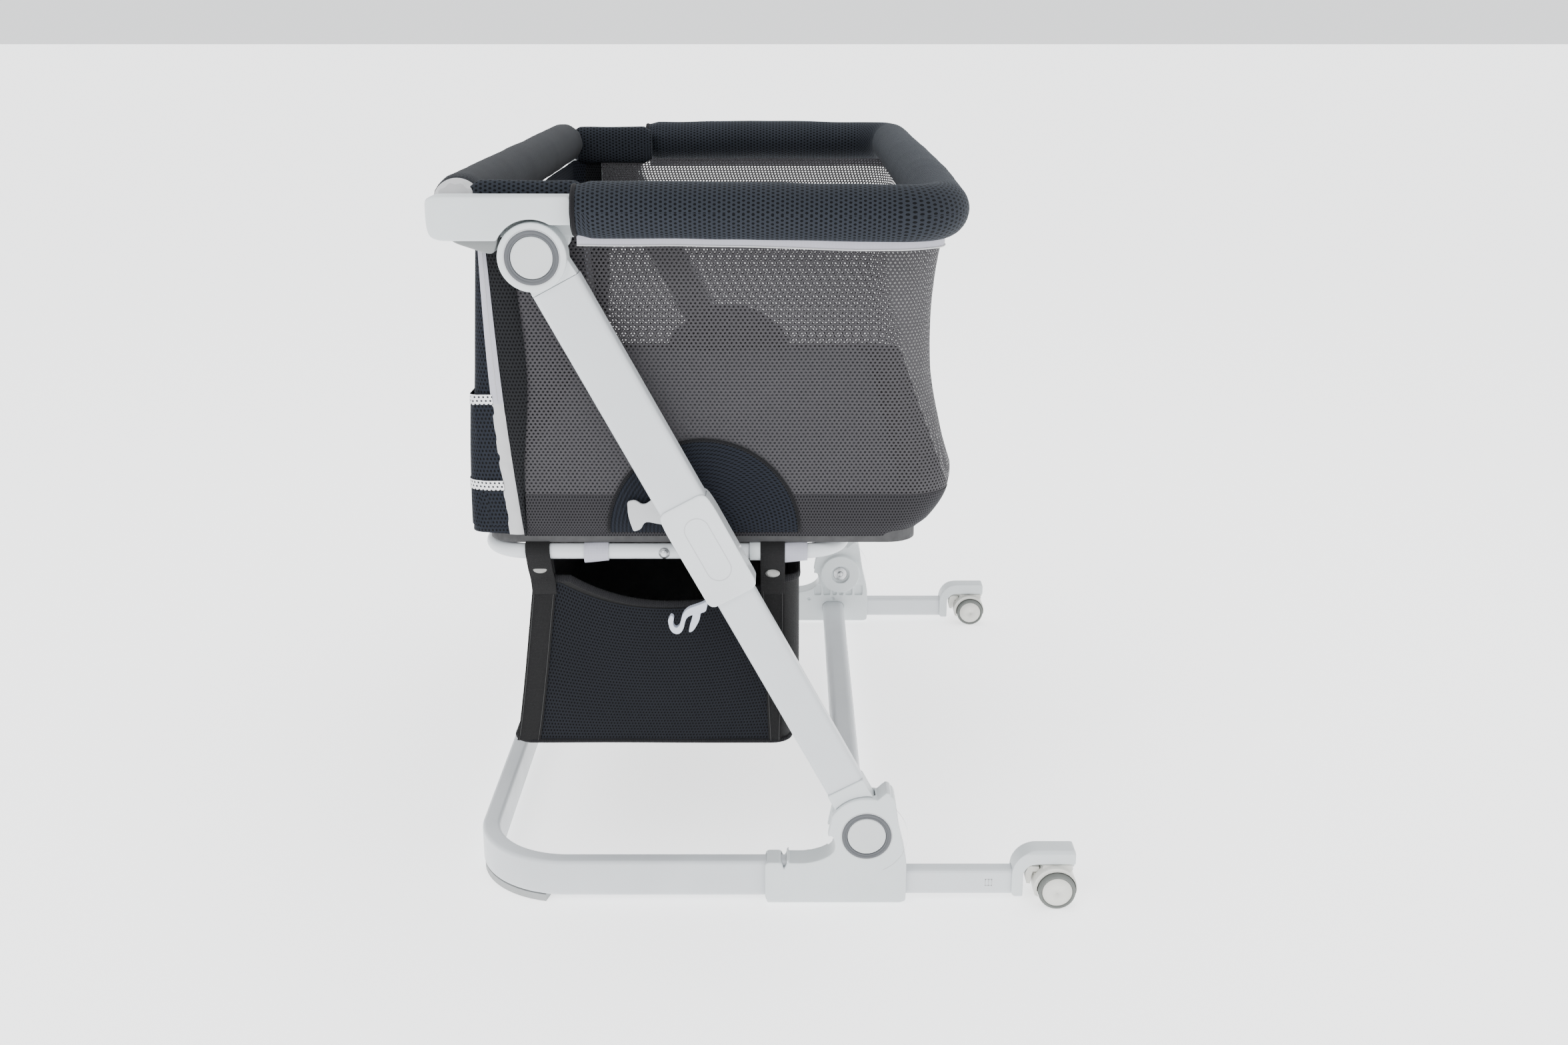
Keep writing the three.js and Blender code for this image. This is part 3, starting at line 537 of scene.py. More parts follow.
def moulding(name, solids, holes=(), voxel=1.0, softness=5):
    """Solids joined and holes cut out, with every edge rounded as on a moulded piece."""
    first, *others = [scratch_object(f"{name}_part", part) for part in solids]
    cutters = [scratch_object(f"{name}_hole", part) for part in holes]
    for operation, tools in (("UNION", others), ("DIFFERENCE", cutters)):
        for tool in tools:
            step = first.modifiers.new(operation, "BOOLEAN")
            step.operation = operation
            step.solver = "EXACT"
            step.object = tool
    remesh = first.modifiers.new("remesh", "REMESH")
    remesh.mode = "VOXEL"
    remesh.voxel_size = voxel * MM
    smooth = first.modifiers.new("smooth", "SMOOTH")
    smooth.factor = 0.5
    smooth.iterations = softness
    mesh = evaluated_mesh(first)
    for tool in others + cutters:
        old = tool.data
        bpy.data.objects.remove(tool)
        bpy.data.meshes.remove(old)
    mesh.name = name
    return mesh


def lathe(name, profile, x, z, steps=72):
    """A round piece about an axis along Y; its profile is (radius, y) points, closed on itself."""
    vertices = []
    for i in range(steps):
        angle = 2 * math.pi * i / steps
        for radius, y in profile:
            vertices.append((x + radius * math.cos(angle), y, z + radius * math.sin(angle)))
    count = len(profile)
    faces = []
    for i in range(steps):
        for j in range(count):
            k = (j + 1) % count
            after = ((i + 1) % steps) * count
            faces.append((i * count + j, i * count + k, after + k, after + j))
    mesh = mesh_of(name, vertices, faces)
    shape = bmesh.new()
    shape.from_mesh(mesh)
    bmesh.ops.remove_doubles(shape, verts=shape.verts, dist=1e-6)
    bmesh.ops.dissolve_degenerate(shape, edges=shape.edges, dist=1e-7)
    bmesh.ops.recalc_face_normals(shape, faces=shape.faces)
    shape.to_mesh(mesh)
    shape.free()
    return mesh


def joined(*meshes):
    """Several meshes as one."""
    shape = bmesh.new()
    for mesh in meshes:
        shape.from_mesh(mesh)
    whole = bpy.data.meshes.new(meshes[0].name)
    shape.to_mesh(whole)
    shape.free()
    return whole


# ------------------------------------------------------------------ swept and lofted skins
def skin(name, rings, closed=False, caps=False):
    """A sheet or tube through rows of points (mm), with its distances in metres as the cloth map."""
    rows = len(rings)
    count = len(rings[0])
    vertices = [Vector(point) * MM for ring in rings for point in ring]
    along = [0.0]
    for before, after in zip(rings, rings[1:]):
        gap = sum((Vector(a) - Vector(b)).length for a, b in zip(after, before)) / count
        along.append(along[-1] + gap * MM)
    faces = []
    marks = []
    spans = count if closed else count - 1
    around = []
    for ring in rings:
        reach = [0.0]
        for j in range(spans):
            reach.append(reach[-1] + (Vector(ring[(j + 1) % count]) - Vector(ring[j])).length * MM)
        around.append(reach)
    for i in range(rows - 1):
        for j in range(spans):
            k = (j + 1) % count
            faces.append((i * count + j, i * count + k, (i + 1) * count + k, (i + 1) * count + j))
            marks.append(((along[i], around[i][j]), (along[i], around[i][j + 1]),
                          (along[i + 1], around[i + 1][j + 1]), (along[i + 1], around[i + 1][j])))
    if caps:
        faces.append(tuple(range(count - 1, -1, -1)))
        marks.append(tuple((0.0, around[0][j]) for j in range(count - 1, -1, -1)))
        faces.append(tuple((rows - 1) * count + j for j in range(count)))
        marks.append(tuple((along[-1], around[-1][j]) for j in range(count)))
    mesh = bpy.data.meshes.new(name)
    mesh.from_pydata(vertices, [], faces)
    layer = mesh.uv_layers.new(name="cloth")
    corner = 0
    for face in marks:
        for mark in face:
            layer.data[corner].uv = mark
            corner += 1
    if closed:
        shape = bmesh.new()
        shape.from_mesh(mesh)
        if caps:
            bmesh.ops.recalc_face_normals(shape, faces=shape.faces)
        shape.to_mesh(mesh)
        shape.free()
    return mesh


def level_path(corners, radius, spacing=14, arc_steps=12):
    """Points along a level line of straight runs, joined by arcs, with even spacing on the runs."""
    line = [Vector(corners[0])]
    for i in range(1, len(corners) - 1):
        here = Vector(corners[i])
        before = (here - Vector(corners[i - 1])).normalized()
        after = (Vector(corners[i + 1]) - here).normalized()
        middle = here - before * radius + after * radius
        for step in range(arc_steps + 1):
            angle = math.pi / 2 * step / arc_steps
            line.append(middle - after * radius * math.cos(angle) + before * radius * math.sin(angle))
    line.append(Vector(corners[-1]))
    even = [line[0]]
    for before, after in zip(line, line[1:]):
        pieces = max(1, round((after - before).length / spacing))
        even += [before.lerp(after, step / pieces) for step in range(1, pieces + 1)]
    return even


def directions(path):
    """The way that a path runs at each of its points."""
    last = len(path) - 1
    return [(path[min(i + 1, last)] - path[max(i - 1, 0)]).normalized() for i in range(last + 1)]


def sweep(path, section):
    """Rings of a section carried along a path; section(i, share) gives its (side, up) points."""
    rings = []
    for i, (point, way) in enumerate(zip(path, directions(path))):
        side = way.cross(UP).normalized() if abs(way.z) < 0.98 else Vector((1, 0, 0))
        top = side.cross(way)
        rings.append([point + side * a + top * b for a, b in section(i, i / (len(path) - 1))])
    return rings


def ripple(point, size, seed=0.0):
    """Smooth, repeatable unevenness between -1 and 1; size is the bumps' width in millimetres."""
    return noise.noise(Vector(point) / size + Vector((seed, seed * 0.7, -seed)))


# ------------------------------------------------------------------ hinge rings and buttons
def make_hinge_faces():
    """Each hinge shows a dark ring with a fine lip round a flat push button."""
    rings = {"lower": (LOWER_HINGE, "base"), "upper": (UPPER_HINGE, "upper_legs")}
    for level, (hinge, body) in rings.items():
        face = box(f"{level}_hinge_ring_far")[1].y - 1
        x, z = hinge.x, hinge.z
        ring = lathe(f"{level}_ring", [
            (20.6, face - 5.6), (25.9, face - 5.6), (25.9, face + 0.1), (25.4, face + 0.8),
            (24.6, face + 1.0), (22.9, face + 0.95), (22.5, face + 0.45), (22.1, face + 0.95),
            (21.2, face + 1.0), (20.6, face + 0.6)], x, z)
        lip = lathe(f"{level}_lip", [
            (25.9, face - 1.5), (26.9, face - 1.5), (26.9, face + 0.2), (26.4, face + 0.5),
            (25.9, face + 0.2)], x, z)
        button = lathe(f"{level}_button", [
            (0, face - 2.6), (20.2, face - 2.6), (20.2, face - 0.1), (19.7, face + 0.5), (18.6, face + 0.75),
            (17.6, face + 0.6), (12, face + 0.62), (0, face + 0.65)], x, z)
        for side, mesh in sides_of(ring).items():
            add_piece(f"{level}_hinge_ring_{side}_fine", mesh, body, RING_GREY,
                      [f"{level}_hinge_ring_{side}"])
        for side, mesh in sides_of(lip).items():
            add_piece(f"{level}_hinge_lip_{side}", mesh, body, PALE_GREY)
        for side, mesh in sides_of(button).items():
            add_piece(f"{level}_hinge_button_{side}_fine", mesh, f"{level}_button_{side}",
                      BUTTON, [f"{level}_hinge_button_{side}"])


# ------------------------------------------------------------------ base
BASE_LOW, BASE_HIGH = box("base_tube")
BASE_DEPTH = 20
BASE_BEND = 95
FOOT_INNER = 417
FOOT_OUTER = box("foot_bracket_far")[1].y
FOOT_RIGHT = box("foot_bracket_far")[1].x
SLOT_INNER = 420.7
SLOT_OUTER = 436.3


def make_base_tube():
    x = BASE_LOW.x + BASE_DEPTH / 2
    z = (BASE_LOW.z + BASE_HIGH.z) / 2
    path = level_path([(BASE_HIGH.x, LEG_Y, z), (x, LEG_Y, z), (x, -LEG_Y, z), (BASE_HIGH.x, -LEG_Y, z)],
                      BASE_BEND, 30, 26)
    half = (BASE_HIGH.z - BASE_LOW.z) / 2
    outline = rounded(-BASE_DEPTH / 2, -half, BASE_DEPTH / 2, half, 4.5, 6)
    mesh = skin("base_tube_fine", sweep(path, lambda i, share: outline), closed=True, caps=True)
    add_piece("base_tube_fine", mesh, "base", PAINTED, ["base_tube"])


def foot_outline():
    """The foot bracket seen from the side: a long low foot, a round boss and a tall right shoulder."""
    x, z = LOWER_HINGE.x, LOWER_HINGE.z
    boss = 43
    shoulder = math.degrees(math.asin(29.5 / boss))
    lean = math.degrees(LEG_LEAN)
    points = soft_corners((-5, 4, 3), (FOOT_RIGHT, 4, 5), (FOOT_RIGHT, 54, 8), (137, 84, 14), (130, 134, 16))
    points += arc(x, z, boss + 11, 90 - 28, 90 - 22, 2)
    points += arc(x, z, boss, 90 + lean - shoulder, 148, 28)
    points += soft_corners((66, 84, 6), (71, 64, 12), (48, 50.5, 26), (14, 50.5, 8))
    return points


def make_foot_brackets():
    x, z = LOWER_HINGE.x, LOWER_HINGE.z
    body = prism(foot_outline(), FOOT_INNER, FOOT_OUTER)
    cheek = prism(circle(x, z, 29.5), FOOT_INNER - 8, FOOT_INNER + 3)
    lip = prism(rounded(-5, 5.6, 14, 51.4, 5), LEG_Y - 13.2, FOOT_OUTER + 0.9)
    pin = prism(circle(x, z, 9, 24), SLOT_INNER - 1, SLOT_OUTER + 1)
    socket = rounded(-30, BASE_LOW.z - 0.4, BASE_HIGH.x + 1, BASE_HIGH.z + 0.4, 4.8)
    holes = [
        prism(socket, LEG_Y - 10.4, LEG_Y + 10.4),
        prism(rounded(112, 9.6, 170, 38.4, 3), LEG_Y - 9.4, LEG_Y + 9.4),
        prism(rounded(75, 15, 108, 35, 9), FOOT_INNER - 12, FOOT_INNER + 10),
        prism(circle(x, z, 26.2), FOOT_OUTER - 6, FOOT_OUTER + 6),
        prism(circle(x, z, 14), FOOT_INNER - 12, FOOT_INNER - 3),
        prism(circle(x, z, 33.8), SLOT_INNER, SLOT_OUTER),
        prism(tongue_sweep(), SLOT_INNER, SLOT_OUTER),
    ]
    holes += [prism(circle(hole_x, 40, 2.6, 16), FOOT_INNER - 5, FOOT_INNER + 2.5) for hole_x in (54, 91)]
    cells = ((62, 73), (76, 87), (90, 97), (100, 107), (110, 121), (124, 137))
    for left, right in cells:
        cell = rounded(left, 46, right, 55 + abs(left - 92) * 0.25, 2, 3)
        holes.append(prism(cell, FOOT_INNER - 2, FOOT_INNER + 3))
    mesh = moulding("foot_bracket", [body, cheek, lip, pin], holes, 1.0, 5)
    for side, shape in sides_of(mesh).items():
        add_piece(f"foot_bracket_{side}_fine", shape, "base", WHITE,
                  [f"foot_bracket_{side}"])
    bolt = joined(lathe("bolt", [(0, FOOT_INNER - 3), (10.5, FOOT_INNER - 3), (10.5, FOOT_INNER - 4.2),
                                 (9.8, FOOT_INNER - 4.6), (0, FOOT_INNER - 4.6)], x, z, 40),
                  lathe("bolt_head", [(0, FOOT_INNER - 4.6), (4.6, FOOT_INNER - 4.6), (4.2, FOOT_INNER - 6.6),
                                      (2.4, FOOT_INNER - 7.4), (0, FOOT_INNER - 7.5)], x, z, 24))
    for side, shape in sides_of(bolt).items():
        add_piece(f"foot_bolt_{side}", shape, "base", ZINC)
    # the groove round the boss is drawn as a grey cord: painted shade in the groove
    seam = 43.0
    groove = [(x + seam * math.cos(t), FOOT_OUTER + 0.02, z + seam * math.sin(t))
              for t in (math.radians(-65 + i * 3) for i in range(38))]
    line = skin("foot_seam", [[(px, FOOT_OUTER + 0.25 * math.sin(a), pz + 0.35 * math.cos(a))
                               for a in (k * math.pi / 3 for k in range(6))] for px, _, pz in groove],
                closed=True, caps=True)
    for side, shape in sides_of(line).items():
        add_piece(f"foot_seam_{side}", shape, "base", PALE_GREY)


def tongue_sweep():
    """Room in the bracket for the leg's tongue, from the open leg to the folded one."""
    fold = math.radians(46)

    def leg_point(up, across, turn=0.0):
        lean = LEG_LEAN + turn
        return (LOWER_HINGE.x - up * math.sin(lean) + across * math.cos(lean),
                LOWER_HINGE.z + up * math.cos(lean) + across * math.sin(lean))

    return [leg_point(0, -17.5, fold), leg_point(0, 27.5), leg_point(90, 27.5),
            (LOWER_HINGE.x - 80, LOWER_HINGE.z + 90), leg_point(90, -17.5, fold)]


def make_castor_arms():
    low, high = box("castor_arm_far")
    y_low, y_high = low.y, high.y
    inside = low.x + 12
    shape = [(low.x + 3, low.z), (inside - 1, low.z), (inside, low.z + 1)]
    shape += arc(inside + 13.5, 33, 13.5, 180, 90, 12)
    shape += [(high.x, 46.5), (high.x, high.z - 3)]
    shape += arc(high.x - 3, high.z - 3, 3, 0, 90, 5)
    shape += arc(low.x + 27, high.z - 27, 27, 90, 180, 16)
    shape += [(low.x, low.z + 3)]
    block = prism(rounded(309, 42, high.x - 0.5, 50, 1.5, 3), y_low + 4, y_high - 4)
    holes = [
        prism(rounded(low.x - 5, 9.6, 263.4, 38.4, 3), LEG_Y - 9.4, LEG_Y + 9.4),
        prism(circle(317, LEG_Y, 4.4, 20), 40, 56.5, "z"),
        # the top edge of the outer face is cut back at a slant
        prism([(y_high - 3.4, high.z + 0.5), (y_high + 1, high.z - 4.6), (y_high + 1, high.z + 0.5)],
              low.x - 5, high.x + 5, "x"),
    ]
    mesh = moulding("castor_arm", [prism(shape, y_low, y_high), block], holes, 0.8, 3)
    for side, part in sides_of(mesh).items():
        add_piece(f"castor_arm_{side}_fine", part, "base", WHITE, [f"castor_arm_{side}"])


def make_base():
    make_base_tube()
    make_foot_brackets()
    make_castor_arms()
    keep_node("cross_bar", PAINTED, 0.8)
    for side in SIDES:
        keep_node(f"extension_tube_{side}", PAINTED, 1.0)
        keep_node(f"foot_pad_{side}", FOOT_RUBBER, 1.5)
    slot_mark = []
    for offset in (0, 3.4, 6.8):
        left, right = 229 + offset, 229.8 + offset
        slot_mark.append(prism([(left, 20), (right, 20), (right, 28), (left, 28)], LEG_Y + 8.9, LEG_Y + 9.2))
    for low_z in (20, 27.2):
        slot_mark.append(prism([(229, low_z), (236.6, low_z), (236.6, low_z + 0.8), (229, low_z + 0.8)],
                               LEG_Y + 8.9, LEG_Y + 9.2))
    mark = joined(*[mesh_of("slot_mark", *part) for part in slot_mark])
    for side, shape in sides_of(mark).items():
        add_piece(f"extension_mark_{side}", shape, "base", PALE_GREY)


# ------------------------------------------------------------------ castors
def make_castors():
    """Twin wheels: a grey tyre round a slightly domed cream disc, under a hood on a swivel stem."""
    x, z = centre("castor_axle_far").x, centre("castor_axle_far").z
    for part, sign in (("outer", 1), ("inner", -1)):
        def y(offset):
            return LEG_Y + sign * offset
        tyre = lathe("tyre", [(15.8, y(7)), (18.6, y(7)), (19.6, y(7.8)), (19.98, y(9.5)), (19.98, y(21)),
                              (19.5, y(22.9)), (18.3, y(23.9)), (16.9, y(24.0)), (16.4, y(23.2)),
                              (15.8, y(22.8))], x, z, 80)
        disc = lathe("disc", [(3.3, y(7.2)), (15.9, y(7.2)), (15.9, y(22.9)), (15.4, y(23.5)),
                              (14.8, y(23.3)), (14.4, y(23.7)), (9, y(24.0)), (0.01, y(24.1)),
                              (0.01, y(22.8)), (3.3, y(22.6))], x, z, 64)
        for side, mesh in sides_of(tyre).items():
            add_piece(f"castor_tyre_{part}_{side}", mesh, f"castor_wheels_{side}", TYRE,
                      [f"castor_wheel_{part}_{side}"])
        for side, mesh in sides_of(disc).items():
            add_piece(f"castor_disc_{part}_{side}", mesh, f"castor_wheels_{side}", CREAM)
    hood = prism(arc(x - 1.5, z + 2, 23.2, -20, 200, 30) + [(282, 13), (292, 9), (314, 9), (322, 13)],
                 LEG_Y - 18.5, LEG_Y + 18.5)
    shoulder = prism(soft_corners((289, 38, 4), (322.5, 38, 4), (321, 45.5, 3), (290, 45.5, 3)),
                     LEG_Y - 11, LEG_Y + 11)
    stem = prism(circle(317, LEG_Y, 4, 20), 42, 55.4, "z")
    holes = [prism(circle(x, z, 20.8), *sorted((LEG_Y + s * 6.4, LEG_Y + s * 40))) for s in (1, -1)]
    holes.append(prism(circle(x, z, 3.4, 16), LEG_Y - 30, LEG_Y + 30))
    holes.append(prism(rounded(274, 33.5, 288, 43.5, 1, 2), LEG_Y - 6.6, LEG_Y + 6.6))
    mesh = moulding("castor_hood", [hood, shoulder, stem], holes, 0.6, 3)
    for side, part in sides_of(mesh).items():
        add_piece(f"castor_hood_{side}_fine", part, f"castor_{side}", CREAM,
                  [f"castor_hood_{side}"])
        keep_node(f"castor_axle_{side}", ZINC)
        keep_node(f"castor_brake_{side}", CREAM, 0.7)


# ------------------------------------------------------------------ legs
COLLAR = {"low": 298, "high": 409, "half": 27.2, "inner": 417, "outer": 446}
LOWER_TUBE = {"half": 20.9, "depth": 10, "low": 58.3, "high": 480}
UPPER_TUBE = {"half": 24.8, "depth": 13, "low": 306, "high": LEG_LENGTH - 34}


def leg_tube(size):
    outline = rounded(LEG_OFFSET - size["half"], LEG_Y - size["depth"], LEG_OFFSET + size["half"],
                      LEG_Y + size["depth"], 5.2, 7)
    return on_leg(prism(outline, size["low"], size["high"], "z"))


def make_leg_tubes():
    for level, size, body in (("lower", LOWER_TUBE, "lower_legs"), ("upper", UPPER_TUBE, "upper_legs")):
        mesh = mesh_of(f"{level}_leg", *leg_tube(size))
        for side, part in sides_of(mesh).items():
            piece = add_piece(f"{level}_leg_tube_{side}_fine", part, body, PAINTED,
                              [f"{level}_leg_tube_{side}"])
            smooth_by_angle(piece)


def smooth_by_angle(piece, degrees=32):
    piece.data.set_sharp_from_angle(angle=math.radians(degrees))


def make_knuckles():
    """The lower knuckle's shoulder wraps the foot's boss; the upper one is a disc that carries the ring."""
    left = LEG_OFFSET - LOWER_TUBE["half"]
    right = LEG_OFFSET + LOWER_TUBE["half"]
    tongue_y = (SLOT_INNER + 0.4, SLOT_OUTER - 0.4)
    tongue = prism(circle(0, 0, 32.8), *tongue_y)
    neck = prism([(left + 1, 0), (right - 1, 0), (right - 1, 50), (left + 1, 50)], *tongue_y)
    shoulder = prism(rounded(left, 20, right, 58, 1), LEG_Y - 12, LEG_Y + 12)
    plug = prism(rounded(left + 2, LEG_Y - 8, right - 2, LEG_Y + 8, 3), 52, 64, "z")
    holes = [prism(circle(0, 0, 9.5, 24), 400, 460)]
    # the shoulder is hollowed round the boss, apart from the tongue in the middle
    holes += [prism(circle(0, 0, 43.5), *span) for span in ((400, SLOT_INNER + 0.3), (SLOT_OUTER - 0.3, 470))]
    mesh = moulding("lower_knuckle", [on_leg(p) for p in (tongue, neck, shoulder, plug)],
                    [on_leg(p) for p in holes], 0.9, 3)
    for side, part in sides_of(mesh).items():
        add_piece(f"lower_leg_knuckle_{side}_fine", part, "lower_legs", WHITE,
                  [f"lower_leg_knuckle_{side}"])

    top = LEG_LENGTH
    left = LEG_OFFSET - UPPER_TUBE["half"]
    right = LEG_OFFSET + UPPER_TUBE["half"]
    seam = UPPER_TUBE["high"] + 0.4
    face = box("upper_leg_knuckle_far")[1].y
    disc = prism(circle(0, top, 33.0, 72), 424.4, face)
    neck = prism([(left + 0.4, seam), (right - 0.4, seam), (right - 1.8, top - 12), (left + 2.3, top - 8)],
                 424.4, LEG_Y + UPPER_TUBE["depth"] - 0.2)
    plug = prism(rounded(left + 4, LEG_Y - 10, right - 4, LEG_Y + 10, 3), seam - 6, seam, "z")
    bridge = prism(rounded(left + 6, 425, right - 6, 438, 1), seam - 5, seam + 5, "z")
    holes = [prism(circle(0, top, 26.2), face - 6, face + 6), prism(circle(0, top, 9.5, 24), 415, 445)]
    mesh = moulding("upper_knuckle", [on_leg(p) for p in (disc, neck, plug, bridge)],
                    [on_leg(p) for p in holes], 0.9, 4)
    for side, part in sides_of(mesh).items():
        add_piece(f"upper_leg_knuckle_{side}_fine", part, "upper_legs", WHITE,
                  [f"upper_leg_knuckle_{side}"])


def make_collars():
    """The moulded sleeve at the foot of the upper tube, with a fine oval line pressed into its face."""
    low, high, half = COLLAR["low"], COLLAR["high"], COLLAR["half"]
    left, right = LEG_OFFSET - half, LEG_OFFSET + half
    face = soft_corners((left, low, 9), (right, low, 9), (right + 0.5, high - 14, 14),
                        (right - 2, high, 8), (left + 2, high, 8), (left - 0.5, high - 14, 14))
    body = prism(face, COLLAR["inner"], COLLAR["outer"])
    room = prism(rounded(LEG_OFFSET - 25.1, LEG_Y - 13.3, LEG_OFFSET + 25.1, LEG_Y + 13.3, 5.4),
                 low + 7.4, high + 5, "z")
    mouth = prism(rounded(LEG_OFFSET - 21.4, LEG_Y - 10.5, LEG_OFFSET + 21.4, LEG_Y + 10.5, 5),
                  low - 5, high, "z")
    mesh = moulding("collar", [on_leg(body)], [on_leg(room), on_leg(mouth)], 0.9, 4)
    for side, part in sides_of(mesh).items():
        add_piece(f"height_collar_{side}_fine", part, "upper_legs", GLOSSY,
                  [f"height_collar_{side}"])
    # the pressed line is drawn as a grey cord: painted shade in the groove
    middle = LEG_OFFSET + 1
    oval = rounded(middle - 12.5, low + 22, middle + 12.5, low + 92, 12.4, 12)
    rings = []
    for a, b in oval + oval[:1]:
        way = (Vector((a, b)) - Vector((middle, min(max(b, low + 34), low + 80)))).normalized()
        rings.append([(a + way.x * across, COLLAR["outer"] + deep, b + way.y * across)
                      for across, deep in ring_points(0.45, 6, 0.30 / 0.45)])
    placed = [[on_leg(([point], []))[0][0] for point in ring] for ring in rings]
    line = skin("collar_line", placed, closed=True)
    for side, part in sides_of(line).items():
        add_piece(f"collar_line_{side}", part, "upper_legs", PALE_GREY)


def make_height_levers():
    low, high = box("height_lever_far")
    grip = soft_corners((-137, 407.2, 2.5), (-129.3, 409.8, 3.5), (-125.5, 418.2, 5), (-104, 414, 3),
                        (-70, 431, 3), (-66, 442, 3), (-72, 448, 3), (-113, 445, 6), (-126, 434.5, 7),
                        (-134.5, 441, 3.5), (-142.8, 439, 3), (-142.2, 423, 8))
    mesh = moulding("height_lever", [prism(grip, low.y + 3.0, high.y - 0.1)], [], 0.6, 4)
    for side, part in sides_of(mesh).items():
        add_piece(f"height_lever_{side}_fine", part, f"height_lever_{side}", PALE_GREY,
                  [f"height_lever_{side}"])


def make_strap_hooks():
    """A springy hook under the collar, with a second, shorter finger behind it."""
    hook = soft_corners((-61.5, 340, 2), (-64, 328, 3), (-84, 323, 6), (-88, 306, 7), (-95, 303, 7),
                        (-101, 308, 4), (-103, 319, 2.5), (-99.5, 325, 2.5), (-96.5, 322, 2), (-98, 314, 3),
                        (-95, 310, 3), (-91, 313, 4), (-87, 330, 10), (-70, 336, 4))
    finger = soft_corners((-75, 333, 2), (-69, 328, 2), (-71, 318, 3), (-77, 307, 4), (-82, 305, 2),
                          (-81, 312, 3), (-78, 322, 3))
    mesh = moulding("strap_hook", [prism(hook, LEG_Y - 4, LEG_Y + 4), prism(finger, LEG_Y - 3, LEG_Y + 3)],
                    [], 0.6, 3)
    for side, part in sides_of(mesh).items():
        add_piece(f"strap_hook_{side}_fine", part, "upper_legs", MILKY,
                  [f"strap_hook_{side}"])


# ------------------------------------------------------------------ crib rim
BRACKET_LOW, BRACKET_HIGH = box("corner_bracket_far")
BRACKET = {"left": BRACKET_LOW.x, "right": BRACKET_HIGH.x, "inner": 420, "outer": BRACKET_HIGH.y,
           "low": 704, "high": BRACKET_HIGH.z}


def make_corner_brackets():
    """A soft, boxy arm with a round end; it is hollowed round the hinge and thinner to the right of it."""
    left, right, low, high = BRACKET["left"], BRACKET["right"], BRACKET["low"], BRACKET["high"]
    inner, outer = BRACKET["inner"], BRACKET["outer"]
    x, z = UPPER_HINGE.x, UPPER_HINGE.z
    face = soft_corners((left + 3, low + 4, 14), (left + 14, low, 8), (right, low, 3), (right, high, 4),
                        (left + 3, high + 0.3, 13), (left - 1, high - 16, 10))
    body = prism(face, inner, outer)
    corner_block = [(left - 20, outer + 20), (left - 20, outer - 26)]
    corner_block += arc(left + 26, outer - 26, 26, 180, 90, 14) + [(left + 26, outer + 20)]
    holes = [
        prism(corner_block, low - 10, high + 10, "z"),
        prism(circle(x, z, 36.2, 64), 423.7, outer + 6),
        prism([(x, low - 5), (right + 8, low - 5), (right + 8, 719), (x, 719)], 423.7, outer + 6),
        prism(circle(RIM_Y, RIM_Z, 9, 24), -196, right + 8, "x"),
        prism(rounded(-299.8, low - 5, -252.6, 717, 1.5, 3), 426.8, 447.2),
    ]
    lug = prism(soft_corners((x - 29, 712, 0), (x - 29, z + 10, 4), (x - 24, z, 4), (x + 24, z, 5),
                             (x + 34, z + 11, 4), (x + 34, 712, 0)), 411, 423.5)
    boss = prism(circle(x, z, 30), 411, 423.5)
    pin = prism(circle(x, z, 9, 24), 420, 440.5)
    shell = moulding("corner_bracket", [body], holes, 0.9, 7)
    lugs = moulding("corner_lug", [lug, boss, pin], [], 0.9, 3)
    for side, part in sides_of(joined(shell, lugs)).items():
        add_piece(f"corner_bracket_{side}_fine", part, "crib", WHITE,
                  [f"corner_bracket_{side}"])
    lever = soft_corners((-298, 710, 0), (-298, 703, 2), (-292, 700, 3), (-266, 691.5, 4), (-259, 691.5, 3),
                         (-254.8, 703, 3), (-254.8, 710, 0))
    mesh = moulding("release_lever", [prism(lever, 428.2, 445.8)], [], 0.7, 3)
    for side, part in sides_of(mesh).items():
        add_piece(f"side_release_lever_{side}_fine", part, f"release_lever_{side}", LEVER_GREY,
                  [f"side_release_lever_{side}"])


def make_tubes():
    keep_node("rim_tube", PAINTED)
    keep_node("side_rail", PAINTED)


make_camera()
make_studio()
make_floor()
make_base()
make_castors()
make_leg_tubes()
make_knuckles()
make_collars()
make_height_levers()
make_strap_hooks()
make_hinge_faces()
make_corner_brackets()
make_tubes()


# ------------------------------------------------------------------ soft goods: shared tools
def cloth_size(mesh):
    """Width, length and area of a skin, in metres, from its cloth map and its faces."""
    marks = [mark.uv for mark in mesh.uv_layers["cloth"].data]
    width = max(mark.x for mark in marks) - min(mark.x for mark in marks)
    length = max(mark.y for mark in marks) - min(mark.y for mark in marks)
    return width, length, sum(face.area for face in mesh.polygons)


def declare_sheet(piece, flat=None):
    width, length, area = cloth_size(piece.data)
    width, length = flat or (width, length)
    area = min(area, width * length)


def follow_floor(*pieces):
    """Gives each piece its own copy of its mesh."""
    for piece in pieces:
        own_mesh(piece)


def crumple_basket(*pieces):
    for piece in pieces:
        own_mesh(piece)


def ease(value):
    value = min(1.0, max(0.0, value))
    return value * value * (3 - 2 * value)


def levels(low, high, count):
    return [low + (high - low) * i / count for i in range(count + 1)]


